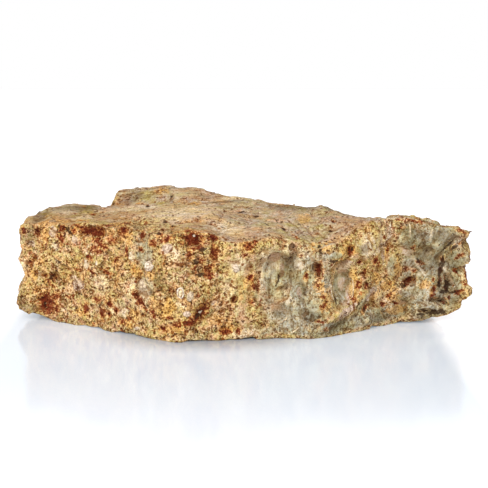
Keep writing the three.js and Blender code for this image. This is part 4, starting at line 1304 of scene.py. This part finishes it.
class SPECIMEN_OT_sand(bpy.types.Operator):
    """Scatter coarse and fine sand grains over the broken faces"""

    bl_idname = "specimen.sand"
    bl_label = "Sand grains"

    def execute(self, context):
        sizes = context.scene.specimen_grains
        stone = bpy.data.objects["limestone_stone"]
        batches = {
            "coarse_sand": (sizes.coarse_spacing, sizes.coarse_radius, 3),
            "fine_sand": (sizes.fine_spacing, sizes.fine_radius, 40),
        }
        for name, (spacing, radius, seed) in batches.items():
            piece = link(bpy.data.objects.new(name, stone.data.copy()))
            tree = sand_tree(name, bpy.data.materials["sand grain"])
            run_tree(piece, tree, {"Spacing": spacing, "Radius": radius, "On Top": 0.1, "Seed": seed})
            print(name, triangle_count(piece.data), "triangles")
            rides_on_stone(piece)
        return {"FINISHED"}


class SPECIMEN_OT_shells(bpy.types.Operator):
    """Scatter shell fragments over the faces that the photograph leaves out"""

    bl_idname = "specimen.shells"
    bl_label = "Shells"

    def execute(self, context):
        sizes = context.scene.specimen_grains
        stone = bpy.data.objects["limestone_stone"]
        material = bpy.data.materials["weathered shell"]
        shard = link(bpy.data.objects.new("shard", shard_mesh()))
        piece = link(bpy.data.objects.new("shell_fragments", stone.data.copy()))
        values = {"Fragment": shard, "Spacing": sizes.shell_spacing, "Size": sizes.shell_size, "Seed": 5}
        run_tree(piece, shell_tree(material), values)
        bpy.data.objects.remove(shard)
        print("shells", triangle_count(piece.data), "triangles")
        rides_on_stone(piece)
        return {"FINISHED"}


class SPECIMEN_OT_fossils(bpy.types.Operator):
    """Set the fossils and calcite bits into the front"""

    bl_idname = "specimen.fossils"
    bl_label = "Fossils"

    def execute(self, context):
        stone = bpy.data.objects["limestone_stone"]
        shape = bmesh.new()
        tones = shape.verts.layers.float.new("tone")
        for kind, rows in FOSSILS.items():
            for fossil in starmap(Fossil, rows):
                known = len(shape.verts)
                if kind == "lump":
                    self.lump(shape, stone, fossil)
                else:
                    self.tube(shape, stone, fossil, kind == "ring")
                shape.verts.ensure_lookup_table()
                for vertex in shape.verts[known:]:
                    vertex[tones] = fossil.tone
        bmesh.ops.recalc_face_normals(shape, faces=shape.faces)
        mesh = bpy.data.meshes.new("fossils")
        shape.to_mesh(mesh)
        shape.free()
        mesh.materials.append(bpy.data.materials["weathered shell"])
        mesh.shade_smooth()
        piece = link(bpy.data.objects.new("fossils", mesh))
        print("fossils", triangle_count(mesh), "triangles")
        rides_on_stone(piece)
        return {"FINISHED"}

    def meet(self, stone, fossil, along, across):
        """Where the front of the stone lies at a place measured from a fossil's middle, in millimetres."""
        turn = math.radians(fossil.turn)
        x = fossil.x + along * math.cos(turn) - across * math.sin(turn)
        z = fossil.z + along * math.sin(turn) + across * math.cos(turn)
        found, place, normal, _ = stone.ray_cast(Vector((x * MM, -0.2, z * MM)), Vector((0, 1, 0)))
        if not found:
            raise RuntimeError(f"no stone behind the fossil at {fossil.x}, {fossil.z}")
        return place, normal

    def lump(self, shape, stone, fossil):
        """A worn lump with flattened sides, half sunk in the rock."""
        place, normal = self.meet(stone, fossil, 0, 0)
        facing_out = (normal + Vector((0, -1, 0))).normalized()
        spun = Matrix.Rotation(-math.radians(fossil.turn), 3, "Y")
        turned = facing_out.to_track_quat("-Y", "Z").to_matrix() @ spun
        depth = 0.45 * min(fossil.half_x, fossil.half_z)
        ball = bmesh.ops.create_icosphere(shape, subdivisions=3, radius=1)["verts"]
        for vertex in ball:
            bump = 1 + 0.5 * noise.noise(vertex.co * 1.6 + Vector((fossil.x, 0, fossil.z)))
            local = Vector((vertex.co.x * fossil.half_x, vertex.co.y * depth, vertex.co.z * fossil.half_z))
            vertex.co = place + turned @ (local * bump * MM)

    def tube(self, shape, stone, fossil, ring):
        """A thin shell wall seen end on: a closed ring, or a bent rib that tapers to its ends."""
        count, sides = 28, 7
        loops, path = [], []
        for i in range(count):
            angle = math.tau * i / count if ring else math.radians(-80 + 160 * i / (count - 1))
            along = fossil.half_x * (math.cos(angle) - (0 if ring else 0.7))
            path.append(self.meet(stone, fossil, along, fossil.half_z * math.sin(angle)))
        for i, (place, normal) in enumerate(path):
            before = path[i - 1 if ring else max(i - 1, 0)][0]
            after = path[(i + 1) % count if ring else min(i + 1, count - 1)][0]
            ahead = (after - before).normalized()
            beside = ahead.cross(normal).normalized()
            taper = 1 if ring else math.sqrt(math.sin(math.pi * (i + 0.5) / count))
            radius = 0.34 * MM * taper * (1 + 0.25 * noise.noise(place * 900))
            loop = []
            for j in range(sides):
                around = math.tau * j / sides
                outward = math.cos(around) * normal + math.sin(around) * beside
                loop.append(shape.verts.new(place + radius * outward))
            loops.append(loop)
        for i in range(count if ring else count - 1):
            first, second = loops[i], loops[(i + 1) % count]
            for j in range(sides):
                shape.faces.new([first[j], first[(j + 1) % sides], second[(j + 1) % sides], second[j]])
        if not ring:
            shape.faces.new(loops[0])
            shape.faces.new(loops[-1])


class SPECIMEN_OT_finishes(bpy.types.Operator):
    """Mix the limestone, sand, shell and table finishes"""

    bl_idname = "specimen.finishes"
    bl_label = "Finishes"

    def execute(self, context):
        colours = context.scene.specimen_colours
        colour_group = limestone_colour_group(colours, ragged_edge_group())
        limestone_material(colour_group, grain_tone_group())
        sand_material(colour_group)
        shell_material(colours)
        table_material()
        return {"FINISHED"}


class SPECIMEN_OT_stage(bpy.types.Operator):
    """Set the white table, the lamps and the camera"""

    bl_idname = "specimen.stage"
    bl_label = "Stage"

    def execute(self, context):
        scene = context.scene
        stage = scene.specimen_stage
        reach = stage.table_size / 2
        mesh = bpy.data.meshes.new("table")
        corners = [(-reach, -reach, 0), (reach, -reach, 0), (reach, reach, 0), (-reach, reach, 0)]
        mesh.from_pydata(corners, [], [(0, 1, 2, 3)])
        mesh.materials.append(bpy.data.materials["white table"])
        table = link(bpy.data.objects.new("table", mesh))

        self.lamp("key", (-0.5, -0.95, 0.6), 0.9, stage.key_power)
        self.lamp("fill", (0.85, -0.75, 0.4), 0.8, stage.fill_power)

        world = bpy.data.worlds.new("studio")
        world.use_nodes = True
        nodes = Nodes(world.node_tree)
        back = world.node_tree.nodes["Background"]
        back.inputs["Color"].default_value = (1, 1, 1, 1)
        seen = nodes.add("ShaderNodeLightPath").outputs
        direct = nodes.most(seen["Is Camera Ray"], seen["Is Glossy Ray"])
        nodes.feed(back.inputs["Strength"], nodes.lerp(direct, stage.room_light, 1))
        scene.world = world
        scene.view_settings.view_transform = "Standard"

        lens = bpy.data.cameras.new("camera")
        lens.lens = stage.lens
        lens.sensor_width = 36
        lens.clip_start = 0.01
        camera = link(bpy.data.objects.new("camera", lens))
        camera.location = CAMERA_PLACE
        camera.rotation_euler = (math.pi / 2 - CAMERA_PITCH, 0, 0)
        scene.camera = camera
        return {"FINISHED"}

    def lamp(self, name, place, width, power):
        """A square soft lamp that faces the middle of the stone."""
        light = bpy.data.lights.new(name, "AREA")
        light.shape = "SQUARE"
        light.size = width
        light.energy = power
        lamp = link(bpy.data.objects.new(name, light))
        lamp.location = place
        aim = Vector((0, 0, 0.02)) - Vector(place)
        lamp.rotation_euler = aim.to_track_quat("-Z", "Y").to_euler()


class SPECIMEN_PT_panel(bpy.types.Panel):
    """Lists the specimen's sizes, colours and steps"""

    bl_idname = "SPECIMEN_PT_panel"
    bl_label = "Limestone specimen"
    bl_space_type = "VIEW_3D"
    bl_region_type = "UI"
    bl_category = "Specimen"

    def draw(self, context):
        layout = self.layout
        for operator in OPERATORS:
            layout.operator(operator.bl_idname)
        for name in SETTINGS:
            box = layout.box()
            group = getattr(context.scene, name)
            for key in group.__annotations__:
                box.prop(group, key)


SETTINGS = {
    "specimen_stone": StoneSettings,
    "specimen_grains": GrainSettings,
    "specimen_colours": ColourSettings,
    "specimen_stage": StageSettings,
}
OPERATORS = (
    SPECIMEN_OT_finishes, SPECIMEN_OT_stage, SPECIMEN_OT_stone, SPECIMEN_OT_sand, SPECIMEN_OT_shells,
    SPECIMEN_OT_fossils,
)


def register():
    for group in SETTINGS.values():
        bpy.utils.register_class(group)
    for name, group in SETTINGS.items():
        setattr(bpy.types.Scene, name, bpy.props.PointerProperty(type=group))
    for operator in OPERATORS:
        bpy.utils.register_class(operator)
    bpy.utils.register_class(SPECIMEN_PT_panel)


def unregister():
    bpy.utils.unregister_class(SPECIMEN_PT_panel)
    for operator in OPERATORS:
        bpy.utils.unregister_class(operator)
    for name, group in SETTINGS.items():
        delattr(bpy.types.Scene, name)
        bpy.utils.unregister_class(group)


def main():
    register()
    bpy.ops.specimen.finishes()
    bpy.ops.specimen.stage()
    bpy.ops.specimen.stone()
    bpy.ops.specimen.sand()
    bpy.ops.specimen.shells()
    bpy.ops.specimen.fossils()


if __name__ == "__main__":
    main()
